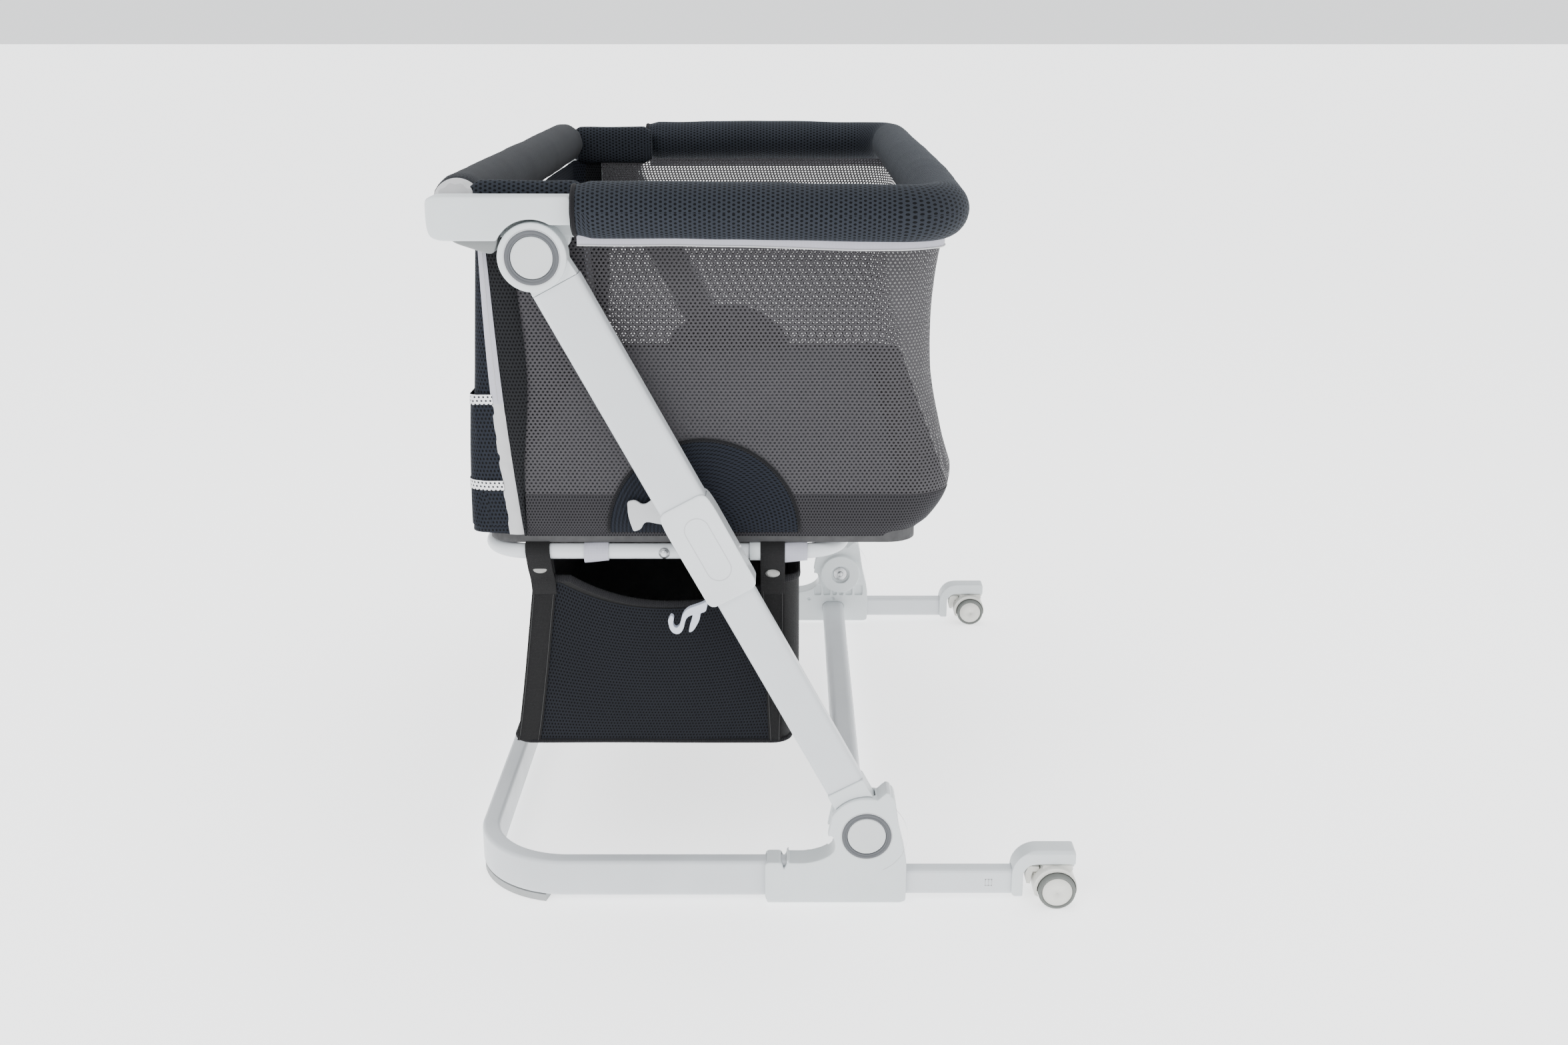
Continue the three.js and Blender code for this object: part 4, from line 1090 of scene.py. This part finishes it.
def puffed(mesh, pressure=4.0, frames=20, cap=12.0, voxel=6.0):
    """A pad as cloth blown up by its filling; no point moves further than the cap (mm)."""
    piece = bpy.data.objects.new("puff", mesh)
    bpy.context.scene.collection.objects.link(piece)
    remesh = piece.modifiers.new("remesh", "REMESH")
    remesh.mode = "VOXEL"
    remesh.voxel_size = voxel * MM
    start = evaluated_mesh(piece)
    rest = [vertex.co.copy() for vertex in start.vertices]
    piece = bpy.data.objects.new("puff", start)
    bpy.context.scene.collection.objects.link(piece)
    cloth = piece.modifiers.new("cloth", "CLOTH")
    cloth.settings.use_pressure = True
    cloth.settings.uniform_pressure_force = pressure
    cloth.settings.tension_stiffness = 18
    cloth.settings.compression_stiffness = 18
    cloth.settings.shear_stiffness = 8
    cloth.settings.bending_stiffness = 0.6
    cloth.settings.mass = 0.3
    cloth.settings.shrink_min = -0.02
    cloth.settings.effector_weights.gravity = 0
    cloth.point_cache.frame_start = 1
    cloth.point_cache.frame_end = frames
    scene = bpy.context.scene
    for step in range(1, frames + 1):
        scene.frame_set(step)
    graph = bpy.context.evaluated_depsgraph_get()
    blown = [vertex.co.copy() for vertex in piece.evaluated_get(graph).to_mesh().vertices]
    scene.frame_set(1)
    piece.modifiers.clear()
    for vertex, old, new in zip(start.vertices, rest, blown):
        move = new - old
        if move.length > cap * MM:
            move = move.normalized() * cap * MM
        vertex.co = old + move
    refine = piece.modifiers.new("refine", "SUBSURF")
    refine.levels = 1
    return evaluated_mesh(piece)


def map_from_above(mesh):
    """Lays the cloth map flat over a mesh, as its fabric lies, in metres."""
    layer = mesh.uv_layers.get("cloth") or mesh.uv_layers.new(name="cloth")
    for loop, mark in zip(mesh.loops, layer.data):
        point = mesh.vertices[loop.vertex_index].co
        mark.uv = (point.x + point.z * 0.5, point.y + point.z * 0.5)
    return mesh


# ------------------------------------------------------------------ padded rim
def bumper_section(path, radius, seed, end_share=0.012):
    """A round, slightly uneven padded tube, drawn in at its two ends."""
    steps = 40

    def section(i, share):
        from_end = min(share, 1 - share) / end_share
        pull = 1 - 0.16 * (1 - ease(from_end))
        points = []
        for k in range(steps):
            turn = 2 * math.pi * k / steps
            place = path[i] + Vector((0, math.cos(turn), math.sin(turn))) * radius
            swell = 0.5 * ripple(place, 90, seed) + 0.5 * ripple(place, 34, seed + 5)
            pucker = 0.5 * math.sin(turn * 9 + seed) * (1 - ease(from_end * 0.4))
            r = radius * pull + swell + pucker
            points.append((r * math.cos(turn), r * math.sin(turn)))
        return points

    return section


def end_band(name, at, way, radius, width=4.5):
    """A narrow binding round a padded tube's end."""
    path = [Vector(at) + Vector(way) * step for step in levels(0, width, 4)]

    def section(i, share):
        r = radius + 1.1 * math.sin(math.pi * share)
        return ring_points(r, 40)

    return skin(name, sweep(path, section), closed=True)


def make_rim():
    """One padded sleeve runs round three sides of the rim, a little lower at its near right corner."""
    left = -184
    path = level_path([(left, -RIM_Y, RIM_Z), (RIM_RIGHT, -RIM_Y, RIM_Z), (RIM_RIGHT, RIM_Y, RIM_Z),
                       (left, RIM_Y, RIM_Z)], 47.5, 9, 16)
    for point in path:
        near = ease((-point.y - 200) / 230)
        far = ease((point.y - 300) / 140)
        point.z -= near * (2.5 + 3.5 * ease((point.x + 100) / 250))
        point.z += far * 1.5 * math.sin(math.pi * ease((point.x + 180) / 330))
    mesh = skin("rim_sleeve", sweep(path, bumper_section(path, 26.6, 1.0)), closed=True, caps=True)
    sleeve = add_piece("rim_sleeve", mesh, "crib", NAVY, ["rim_bumper"])
    for side, sign in SIDES.items():
        z = path[0].z if sign < 0 else path[-1].z
        band = end_band("rim_binding", (left + 0.5, sign * RIM_Y, z), (1, 0, 0), 23.8)
        add_piece(f"rim_binding_{side}", band, "crib", BINDING)
    make_flap()
    make_rail_sleeve()
    make_corner_pads()


def make_flap():
    """A pale tape shows all round below the sleeve, with a corded lower edge."""
    path = level_path([(-180, -RIM_Y - 4, 0), (RIM_RIGHT + 4, -RIM_Y - 4, 0), (RIM_RIGHT + 4, RIM_Y + 4, 0),
                       (-180, RIM_Y + 4, 0)], 50, 12, 14)

    def low_edge(point):
        near = ease((-point.y - 200) / 230)
        return 699.5 - near * 5.0 * ease((point.x + 100) / 250) + 1.3 * ripple(point, 60, 3)

    rings = []
    for point in path:
        lean = 1.2 * ripple(point, 45, 8)
        low = low_edge(point)
        way = Vector((0, math.copysign(1, point.y), 0)) if point.x < 120 else Vector((1, 0, 0))
        rings.append([(point.x + way.x * lean * t, point.y + way.y * lean * t, 714 - (714 - low) * t)
                      for t in (0, 0.25, 0.5, 0.75, 1.0)])
    tape = add_piece("rim_flap", skin("rim_flap", rings), "crib", TAPE)
    edge = [Vector(ring[-1]) for ring in rings]
    cord = sweep(edge, lambda i, share: ring_points(0.9, 6))
    piping = add_piece("rim_flap_piping", skin("rim_flap_piping", cord, closed=True, caps=True), "crib",
                       SATIN)
    declare_sheet(tape)


def make_rail_sleeve():
    """The drop side's own padded rail, with pale puckered lining at its two ends."""
    half = 409
    path = [Vector((RAIL_X, y, RIM_Z)) for y in levels(-half, half, 80)]
    mesh = skin("rail_sleeve", sweep(path, bumper_section(path, 26.8, 9.0, 0.02)), closed=True, caps=True)
    sleeve = add_piece("rail_sleeve", mesh, "drop_side", RAIL_MESH, ["side_bumper"])
    for side, sign in SIDES.items():
        rings = []
        for step in levels(0, 9, 8):
            ring = []
            for k in range(48):
                turn = 2 * math.pi * k / 48
                fold = 1.0 * math.sin(turn * 11) * ease(step / 4)
                r = 24.0 - 4.5 * ease(step / 9) + fold
                across, up = r * math.cos(turn), r * math.sin(turn)
                ring.append((RAIL_X + across, sign * (half - 2 + step), RIM_Z + up))
            rings.append(ring)
        add_piece(f"rail_lining_{side}", skin("rail_lining", rings, closed=True, caps=True), "drop_side",
                  SATIN)


def make_corner_pads():
    """Dark padding stands behind each corner bracket and rises a little above it."""
    for side, sign in SIDES.items():
        path = [Vector((x, sign * 409, 731)) for x in levels(-286, -174, 34)]

        def section(i, share):
            swell = 0.8 * ripple(path[i], 34, 4 * sign)
            shut = 1 - 0.22 * (1 - ease(min(share, 1 - share) / 0.10))
            points = []
            for k in range(40):
                turn = 2 * math.pi * k / 40
                wide, tall = abs(math.cos(turn)) ** 0.8, abs(math.sin(turn)) ** 0.8
                points.append((math.copysign(9.3 * wide, math.cos(turn)) * shut,
                               math.copysign((25.5 + swell) * tall, math.sin(turn)) * shut))
            return points

        mesh = skin("corner_pad", sweep(path, section), closed=True, caps=True)
        pad = add_piece(f"corner_pad_{side}", mesh, "crib", NAVY)


# ------------------------------------------------------------------ crib walls
def left_face(z):
    return -301 + 16 * (z - 430) / (WALL_TOP - 430)


def right_face(z):
    waist = 162.5 + (0.0013 if z < 604 else 0.0011) * (z - 604) ** 2
    heel = 0.0085 * (462 - z) ** 2 if z < 462 else 0
    return min(waist, 187) - heel


def wall_line(z, grow=0.0, count=44):
    """The walls' outline at a height, from the near left edge round the right end to the far left."""
    half = WALL_Y - 0.5 + grow
    right = right_face(z) + grow
    corner = 46
    left = -246
    near = [(left + (right - corner - left) * i / count, -half) for i in range(count)]
    turn = arc(right - corner, -half + corner, corner, -90, 0, 12)
    end = [(right, y) for y in levels(-half + corner, half - corner, 40)][1:-1]
    back = arc(right - corner, half - corner, corner, 0, 90, 12)
    far = [(x, y) for x, y in ((a, -b) for a, b in reversed(near))]
    return near + turn + end + back + far


def slack(x, y, z):
    """How far the cloth stands off its flat line: it hangs in soft, shallow folds."""
    height = (z - HEM) / (WALL_TOP - HEM)
    free = math.sin(math.pi * min(1, max(0, height)))
    fold = 2.2 * ripple((x * 0.6, y * 0.6, z * 1.4), 70, 2) + 1.0 * ripple((x, y, z), 26, 6)
    return (fold - 1.6) * (0.25 + 0.75 * free)


def wall_point(x, y, z, out):
    """A point on the walls, moved outwards."""
    if abs(y) > WALL_Y - 30 and x < 130:
        return (x, y + out * math.copysign(1, y), z)
    middle = Vector((x - 100, y * 0.4, 0)).normalized()
    return (x + middle.x * out, y + middle.y * out, z)


def make_walls():
    rows = levels(HEM, WALL_TOP + 6, 46)
    rings = []
    for z in rows:
        tuck = 5.0 * (1 - ease((z - HEM) / 12))
        rings.append([wall_point(x, y, z, slack(x, y, z) - tuck) for x, y in wall_line(z)])
    net = add_piece("crib_net", skin("crib_net", rings), "crib", NET, ["crib_walls"])
    trims = [make_low_band()]
    for side, sign in SIDES.items():
        trims += make_patch(side, sign)
        trims += make_wall_edge(side, sign)
    follow_floor(net, *trims)
    declare_sheet(net)


def make_low_band():
    """Close spacer cloth runs round the bottom of the walls and turns in under the bed's floor."""
    turned_in = [wall_point(x, y, HEM - 2, -30) for x, y in wall_line(HEM)]
    rings = [turned_in, [wall_point(x, y, HEM - 2, -16) for x, y in wall_line(HEM)]]
    for z in levels(HEM - 1.5, HEM + 43, 14):
        tuck = 5.0 * (1 - ease((z - HEM) / 12))
        rings.append([wall_point(x, y, z, slack(x, y, z) + 0.9 - tuck) for x, y in wall_line(z)])
    mesh = skin("wall_low_band", rings)
    return add_piece("wall_low_band", mesh, "crib", WALL_BAND)


PATCH = {"x": -66, "radius": 97}


def make_patch(side, sign):
    """A half-round patch of navy spacer cloth low on the wall, with a darker rolled edge."""
    rings = []
    for share in levels(0, 1, 14):
        ring = []
        for k in range(41):
            turn = math.pi * k / 40
            x = PATCH["x"] + PATCH["radius"] * share * math.cos(turn)
            z = HEM + 3 + PATCH["radius"] * share * math.sin(turn)
            out = slack(x, sign * (WALL_Y - 0.5), z) + 1.7 + 0.8 * math.cos(math.pi * share * 0.5)
            tuck = 5.0 * (1 - ease((z - HEM) / 12))
            ring.append((x, sign * (WALL_Y - 0.5 + out - tuck), z))
        rings.append(ring)
    patch = add_piece(f"wall_patch_{side}", skin("wall_patch", rings), "crib", NAVY_PATCH)
    rim = [Vector(point) for point in rings[-1]]
    cord = []
    for point in rim:
        out = (point - Vector((PATCH["x"], point.y, HEM + 3))).normalized()
        cord.append([point + out * 1.6 * math.cos(a) + Vector((0, sign, 0)) * (0.4 + 1.1 * math.sin(a))
                     for a in (j * math.pi / 4 for j in range(8))])
    edge = add_piece(f"patch_edge_{side}", skin("patch_edge", cord, closed=True, caps=True), "crib",
                     BINDING)
    return [patch, edge]


def strip_left(z):
    share = (z - HEM) / (WALL_TOP - HEM)
    return -263 - 18 * share - 4 * math.sin(math.pi * share)


def strip_width(z):
    share = (z - HEM) / (WALL_TOP - HEM)
    return 6 + 8.5 * (1 - share) ** 0.6


def make_wall_edge(side, sign):
    """At the wall's left edge: a pale zip strip, satin in its lower half, then a dark padded band."""
    pieces = []
    face = sign * (WALL_Y + 0.4)
    spans = {
        "zip_strip": (HEM + 138, WALL_TOP, 0.0, 1.0, TAPE),
        "satin_strip": (HEM + 2, HEM + 139, 0.0, 1.0, SATIN),
    }
    for name, (low, high, start, end, material) in spans.items():
        rings = []
        for z in levels(low, high, 40):
            crease = 0.2 * ripple((0, 0, z), 50)
            if name == "satin_strip":
                crease = 1.8 * ripple((0, z * 0.7, z), 16, 3)
            left = strip_left(z)
            width = strip_width(z)
            rings.append([(left + width * share, face + sign * (0.6 + 1.2 * math.sin(math.pi * share)
                           + crease * math.sin(math.pi * share + z * 0.08)), z)
                          for share in levels(start, end, 8)])
        pieces.append(add_piece(f"{name}_{side}", skin(name, rings), "crib", material))
    fold = []
    for z in levels(HEM + 140, WALL_TOP, 40):
        x = strip_left(z) + strip_width(z) * 0.55
        fold.append([(x + 0.35 * math.cos(a), face + sign * (1.9 + 0.3 * math.sin(a)), z)
                     for a in (k * math.pi / 3 for k in range(6))])
    mesh = skin("zip_fold", fold, closed=True)
    pieces.append(add_piece(f"zip_fold_{side}", mesh, "crib", SATIN))
    rings = []
    for z in levels(HEM + 1, WALL_TOP, 46):
        left = strip_left(z) + strip_width(z)
        width = -243 - left + 4 * math.sin(z / 40)
        rings.append([(left + width * share, face + sign * 2.6 * math.sin(math.pi * share) ** 0.6, z)
                      for share in levels(0, 1, 10)])
    pieces.append(add_piece(f"edge_band_{side}", skin("edge_band", rings), "crib", BLACK_SPACER))
    return pieces


# ------------------------------------------------------------------ drop side
def side_line(z, out=0.0, count=60):
    """The drop side's outline at a height: its cloth turns both corners of the crib."""
    half = WALL_Y + 0.4
    left = left_face(z) - out
    corner = 16
    edge = strip_left(z) + 1.5
    near = [(edge, -half), (left + corner, -half)]
    turn = arc(left + corner, -half + corner, corner, 270, 180, 8)
    run = [(left, y) for y in levels(-half + corner, half - corner, count)][1:-1]
    back = arc(left + corner, half - corner, corner, 180, 90, 8)
    return near + turn + run + back + [(left + corner, half), (edge, half)]


def make_side_wall():
    rings = [[(x, y, HEM + 2) for x, y in side_line(HEM + 8, -30)]]
    for z in levels(HEM + 4, WALL_TOP + 4, 40):
        ring = []
        for x, y in side_line(z):
            bow = math.cos(math.pi * y / (2 * WALL_Y + 20))
            out = (3.0 * ripple((0, y * 0.5, z), 80, 5) + 1.2 * ripple((0, y, z), 28, 7)) * bow
            ring.append((x - out, y, z))
        rings.append(ring)
    mesh = skin("side_cloth", rings)
    wall = add_piece("side_cloth", mesh, "drop_side", NAVY_PATCH, ["side_wall"])
    pocket, *trims = make_pocket()
    follow_floor(wall, pocket, *trims)
    declare_sheet(wall)
    declare_sheet(pocket)


def pocket_out(y, z):
    """A long pocket that stands open a little at its top edge."""
    across = max(0.0, math.cos(math.pi * y / (2 * WALL_Y + 30))) ** 0.5
    height = (z - 410) / 138
    belly = math.sin(math.pi * min(1, height) * 0.62) ** 0.8 if height > 0 else 0
    return 1.2 + across * (8.5 * belly + 1.2 * ripple((0, y, z), 44, 11))


def make_pocket():
    def droop(y):
        """The pocket's top edge dips between its corners."""
        return 547 - 9 * max(0.0, math.cos(math.pi * y / (2 * WALL_Y))) ** 0.5

    def rows(start, end, grow, count):
        rings = []
        for share in levels(0, 1, count):
            ring = []
            for x, y in side_line(470):
                low = start(y)
                z = low + (end(y) - low) * share
                shift = left_face(z) - left_face(470)
                out = pocket_out(y, z) + grow
                if abs(y) > WALL_Y - 1:
                    ring.append((x + (strip_left(z) - strip_left(470)), y + math.copysign(0.7 + grow, y), z))
                else:
                    ring.append((x + shift - out, y, z))
            rings.append(ring)
        return rings

    pocket = add_piece("side_pocket", skin("side_pocket", rows(lambda y: 411, droop, 0, 18)), "drop_side",
                       NAVY_PATCH)
    upper = skin("pocket_trim_upper", rows(lambda y: droop(y) - 9.5, lambda y: droop(y) + 0.6, 0.9, 4))
    lower = skin("pocket_trim_lower", rows(lambda y: 449, lambda y: 459, 0.9, 4))
    trims = [
        add_piece("pocket_trim_upper", upper, "drop_side", DOTS),
        add_piece("pocket_trim_lower", lower, "drop_side", DOTS),
    ]
    return [pocket, *trims]


# ------------------------------------------------------------------ bed
def make_mattress():
    """A thin pad whose cover is blown up a little between its piped edges."""
    low, high = box("mattress")
    swell = 3.5
    inset = 5.0
    outline = rounded(low.x + inset, low.y + inset, high.x - inset, high.y - inset, 30, 10)
    mesh = mesh_of("mattress_pad", *prism(outline, low.z + swell, high.z - swell, "z"))
    pad = add_piece("mattress_pad", map_from_above(puffed(mesh, cap=5.0, voxel=6.5)), "bottom",
                    COVER, ["mattress"])
    for name, z in (("upper", high.z - 4.5), ("lower", low.z + 4.5)):
        line = rounded(low.x + 2.5, low.y + 2.5, high.x - 2.5, high.y - 2.5, 31, 10)
        path = [Vector((a, b, z)) for a, b in line + line[:1]]
        cord = sweep(path, lambda i, share: ring_points(1.7, 8))
        add_piece(f"mattress_piping_{name}", skin("mattress_piping", cord, closed=True), "bottom",
                  BINDING)
    keep_node("floor_board", BOARD, 1.2)


def make_bottom_frame():
    for part, end in (("left", FRAME_LEFT), ("right", FRAME_RIGHT)):
        joint = -3 + (0.3 if part == "right" else -0.3)
        path = level_path([(joint, FRAME_Y, FRAME_Z), (end, FRAME_Y, FRAME_Z), (end, -FRAME_Y, FRAME_Z),
                           (joint, -FRAME_Y, FRAME_Z)], 45, 60, 16)
        circle_points = circle(0, 0, FRAME_TUBE, 28)
        mesh = skin("frame_tube", sweep(path, lambda i, share: circle_points), closed=True, caps=True)
        add_piece(f"bottom_frame_{part}_fine", mesh, "bottom", PAINTED,
                  [f"bottom_frame_{part}"])
    for side, sign in SIDES.items():
        make_frame_sleeve(side, sign)
        make_frame_bolt(side, sign)
        for name, left in (("left", -189), ("right", 14)):
            make_velcro_loop(f"velcro_{name}_{side}", sign, left)


def make_frame_sleeve(side, sign):
    rings = []
    for x, r in ((-20, 8.3), (-20, 9.2), (-19.3, 9.7), (-9, 9.7), (14.3, 9.7), (15, 9.2), (15, 8.3)):
        rings.append([(x, sign * FRAME_Y + a, FRAME_Z + b) for a, b in circle(0, 0, r, 28)])
    add_piece(f"frame_sleeve_{side}_fine", skin("frame_sleeve", rings, closed=True), "bottom",
              WHITE, [f"frame_sleeve_{side}"])


def make_frame_bolt(side, sign):
    profile = ((0, -1), (5.6, -1), (5.6, 0.6), (4.4, 1.0), (3.9, 2.6), (2.2, 3.6), (0, 3.8))
    face = sign * (FRAME_Y + FRAME_TUBE)
    head = lathe("frame_bolt", [(r, face + sign * out) for r, out in profile], -107, FRAME_Z, 32)
    add_piece(f"frame_bolt_{side}", head, "bottom", ZINC)


def make_velcro_loop(name, sign, left):
    """A strip of loop tape lies round the frame tube and hangs a little loose below it."""
    rings = []
    for share in levels(0, 1, 12):
        ring = []
        for k in range(36):
            turn = 2 * math.pi * k / 36
            loose = 2.6 * max(0.0, -math.sin(turn)) ** 2 * (1 - 0.7 * share)
            flare = loose + 0.35 * math.sin(turn * 3 + share * 4)
            ring.append((left + 25 * share, sign * FRAME_Y + (9.4 + flare * 0.4) * math.cos(turn),
                         FRAME_Z + (9.4 + flare) * math.sin(turn)))
        rings.append(ring)
    add_piece(name, skin("velcro", rings, closed=True), "bottom", LOOP_TAPE)


# ------------------------------------------------------------------ basket
BASKET = {"left": -271, "mouth": -246, "right": 31, "half": 394, "low": 168, "high": 350, "corner": 20}
STRAPS = {"left": -249, "right": -9}
STRAP_WIDTH = 25


def basket_left(z):
    share = (z - BASKET["low"]) / (BASKET["high"] - BASKET["low"])
    return BASKET["left"] + (BASKET["mouth"] - BASKET["left"]) * share ** 0.85


def basket_right(z):
    share = (z - BASKET["low"]) / (BASKET["high"] - BASKET["low"])
    return BASKET["right"] - 9 * (1 - ease(share * 2.2))


def basket_top(x, y):
    """The long sides' top edge sags in a shallow curve between the straps, the ends' only a little."""
    if abs(y) > BASKET["half"] - BASKET["corner"] - 1:
        middle, reach = -108, 120
        share = min(1.0, abs(x - middle) / reach)
        return BASKET["high"] - 28 * (1 - share ** 2.2)
    share = abs(y) / BASKET["half"]
    return BASKET["high"] - 12 * (1 - share ** 3)


def basket_line(grow=0.0):
    """The basket's outline as shares of its width, from the middle of its right end and round."""
    half = BASKET["half"] + grow
    corner = BASKET["corner"]
    left, right = BASKET["left"] - grow, BASKET["right"] + grow
    points = [(right, y) for y in levels(0, half - corner, 16)]
    points += arc(right - corner, half - corner, corner, 0, 90, 8)
    points += [(x, half) for x in levels(right - corner, left + corner, 34)][1:-1]
    points += arc(left + corner, half - corner, corner, 90, 180, 8)
    points += [(left, y) for y in levels(half - corner, -half + corner, 32)][1:-1]
    points += arc(left + corner, -half + corner, corner, 180, 270, 8)
    points += [(x, -half) for x in levels(left + corner, right - corner, 34)][1:-1]
    points += arc(right - corner, -half + corner, corner, 270, 360, 8)
    points += [(right, y) for y in levels(-half + corner, 0, 16)][1:-1]
    return points


def basket_point(x, y, z, grow=0.0):
    """A point of the basket's plan, moved to where the walls stand at a height."""
    span = BASKET["right"] - BASKET["left"]
    share = (x - BASKET["left"]) / span
    left, right = basket_left(z), basket_right(z)
    height = (z - BASKET["low"]) / (BASKET["high"] - BASKET["low"])
    belly = 4.0 * math.sin(math.pi * min(1, max(0, height))) * math.sin(math.pi * min(1, max(0, share)))
    wrinkle = 1.3 * ripple((x * 0.7, y * 0.7, z), 60, 13)
    return (left + (right - left) * share, y + (belly + wrinkle + grow) * math.copysign(1, y), z)


def basket_rings(grow, low, top_drop=0.0, rows=18):
    rings = []
    for share in levels(0, 1, rows):
        ring = []
        for x, y in basket_line(grow):
            plan_x = min(max(x, BASKET["left"]), BASKET["right"])
            top = basket_top(plan_x, y) - top_drop
            z = low + (top - low) * share
            px, py, pz = basket_point(x, y, z)
            ring.append((px, py, pz))
        rings.append(ring)
    return rings


def tube_along(name, path, radius, flat=1.0):
    section = ring_points(radius, 8, flat)
    return skin(name, sweep(path, lambda i, share: section), closed=True)


def make_basket():
    shell_rings = basket_rings(0.0, BASKET["low"])
    mesh = skin("basket_shell", shell_rings, closed=True)
    shell = add_piece("basket_shell", mesh, "bottom", BASKET_CLOTH, ["basket"])
    lining = add_piece("basket_lining", skin("basket_lining", basket_rings(-1.6, BASKET["low"] + 2, 1.0),
                                             closed=True), "bottom", LINING)
    floor_rings = []
    for share in levels(1, 0.02, 10):
        ring = []
        for x, y, z in shell_rings[0]:
            middle = -120
            sag = 2.5 * (1 - share) + 1.0 * ripple((x, y, 0), 70, 17) * (1 - share)
            ring.append((middle + (x - middle) * share, y * share, z + 1.0 - sag * 0.4))
        floor_rings.append(ring)
    mesh = skin("basket_floor", floor_rings, closed=True)
    floor = add_piece("basket_floor", mesh, "bottom", LINING)
    top = [Vector(point) for point in shell_rings[-1]]
    bottom = [Vector(point) for point in shell_rings[0]]
    binding = add_piece("basket_binding", tube_along("basket_binding", top + top[:1], 1.6, 2.6), "bottom",
                        BINDING)
    piping = add_piece("basket_piping", tube_along("basket_piping", bottom + bottom[:1], 2.8), "bottom",
                       BINDING)
    trims = [binding, piping]
    nets = []
    for side, sign in SIDES.items():
        nets.append(make_basket_net(side, sign))
        trims += make_basket_bands(side, sign)
        make_straps(side, sign)
    crumple_basket(shell, lining, floor, *nets, *trims)
    declare_sheet(shell)
    declare_sheet(lining)
    span = BASKET["right"] - 9 - BASKET["left"]
    declare_sheet(floor, flat=(span * MM, 2 * BASKET["half"] * MM))
    for net in nets:
        declare_sheet(net)


def side_panel(sign, start, end, grow, rows=20, columns=30, drop=0.0):
    """Rings of a panel on one long side; start and end give its X at each height."""
    rings = []
    for share in levels(0, 1, rows):
        ring = []
        for part in levels(0, 1, columns):
            guess = start(250) + (end(250) - start(250)) * part
            top = basket_top(guess, BASKET["half"]) - drop
            z = BASKET["low"] + 1 + (top - BASKET["low"] - 1) * share
            x = start(z) + (end(z) - start(z)) * part
            left, right = basket_left(z), basket_right(z)
            plan = BASKET["left"] + (x - left) / (right - left) * (BASKET["right"] - BASKET["left"])
            _, y, _ = basket_point(plan, BASKET["half"], z, grow)
            ring.append((x, sign * y, z))
        rings.append(ring)
    return rings


def net_edge(z):
    """The net panel's right edge leans out towards the basket's floor."""
    share = (z - BASKET["low"]) / (BASKET["high"] - BASKET["low"])
    return -9 + 8 * (1 - share)


def make_basket_net(side, sign):
    rings = side_panel(sign, lambda z: basket_left(z) + 22, lambda z: net_edge(z) + 3, 1.0, 24, 40, 4.0)
    return add_piece(f"basket_net_{side}", skin("basket_net", rings), "bottom", BASKET_NET)


def make_basket_bands(side, sign):
    """Webbing runs down both edges of the net panel, stitched along each side."""
    pieces = []
    bands = {
        "left": (lambda z: basket_left(z) + 2.0, lambda z: basket_left(z) + 26.5),
        "right": (net_edge, lambda z: 15.5 - 3.5 * (1 - ease((z - BASKET["low"]) / 90))),
    }
    for name, (start, end) in bands.items():
        rings = side_panel(sign, start, end, 2.2, 24, 6)
        pieces.append(add_piece(f"basket_band_{name}_{side}", skin("basket_band", rings), "bottom",
                                WEBBING))
        for edge, line in (("in", lambda z: end(z) - 2.2), ("out", lambda z: start(z) + 2.2)):
            seam = [Vector(ring[0]) + Vector((0, sign * 0.35, 0)) for ring in side_panel(
                sign, line, lambda z: line(z) + 1, 2.2, 24, 1)]
            pieces.append(add_piece(f"basket_seam_{name}_{edge}_{side}", tube_along("basket_seam", seam, 0.4),
                                    "bottom", LINING))
    return pieces


def make_straps(side, sign):
    """Each strap goes up over the frame tube and back down, held by a snap."""
    for name, left in STRAPS.items():
        lean = 4 if name == "left" else 0
        front = FRAME_TUBE + 2.3
        line = [(BASKET["half"] + 2.8, 334), (BASKET["half"] + 3.4, 350), (FRAME_Y + front - 4, 366)]
        line += [(FRAME_Y + front * math.cos(a), FRAME_Z + front * math.sin(a))
                 for a in (math.radians(-25 + 20 * i) for i in range(12))]
        line += [(FRAME_Y - 7, 366), (BASKET["half"] - 2.4, 350), (BASKET["half"] - 2.6, 334)]
        rings = []
        for i, (y, z) in enumerate(line):
            before = Vector(line[max(i - 1, 0)])
            after = Vector(line[min(i + 1, len(line) - 1)])
            way = (after - before).normalized()
            out = Vector((way.y, -way.x))
            slide = lean * (1 - min(1, (z - 334) / 56))
            shape = rounded(0, -0.7, STRAP_WIDTH, 0.7, 0.6, 2)
            rings.append([(left + slide + a, sign * (y + out.x * b), z + out.y * b) for a, b in shape])
        mesh = skin("basket_strap", rings, closed=True, caps=True)
        add_piece(f"basket_strap_{name}_{side}", mesh, "bottom", WEBBING)
        z = 364 if name == "left" else 359.5
        y = sign * (FRAME_Y + 4.4)
        profile = ((0, 0), (7.4, 0), (7.5, 0.9), (6.6, 1.7), (4.5, 1.9), (0, 2.0))
        middle = left + lean * 0.4 + STRAP_WIDTH / 2
        snap = lathe("snap", [(r, y + sign * out) for r, out in profile], middle, 0, 40)
        snap.transform(Matrix.Diagonal((1, 1, 0.62, 1)))
        snap.transform(Matrix.Translation((0, 0, z * MM)))
        add_piece(f"basket_snap_{name}_{side}", snap, "bottom", GUNMETAL)


# its second colour is the painted shade in the cover's pits
COVER = spacer_mesh("mattress_cover", (0.042, 0.045, 0.050), (0.012, 0.013, 0.015), 0.0034, 0.08, 1.0)
BOARD = rubber("board_cover", (0.045, 0.045, 0.047))

make_rim()
make_walls()
make_side_wall()
make_mattress()
make_bottom_frame()
make_basket()
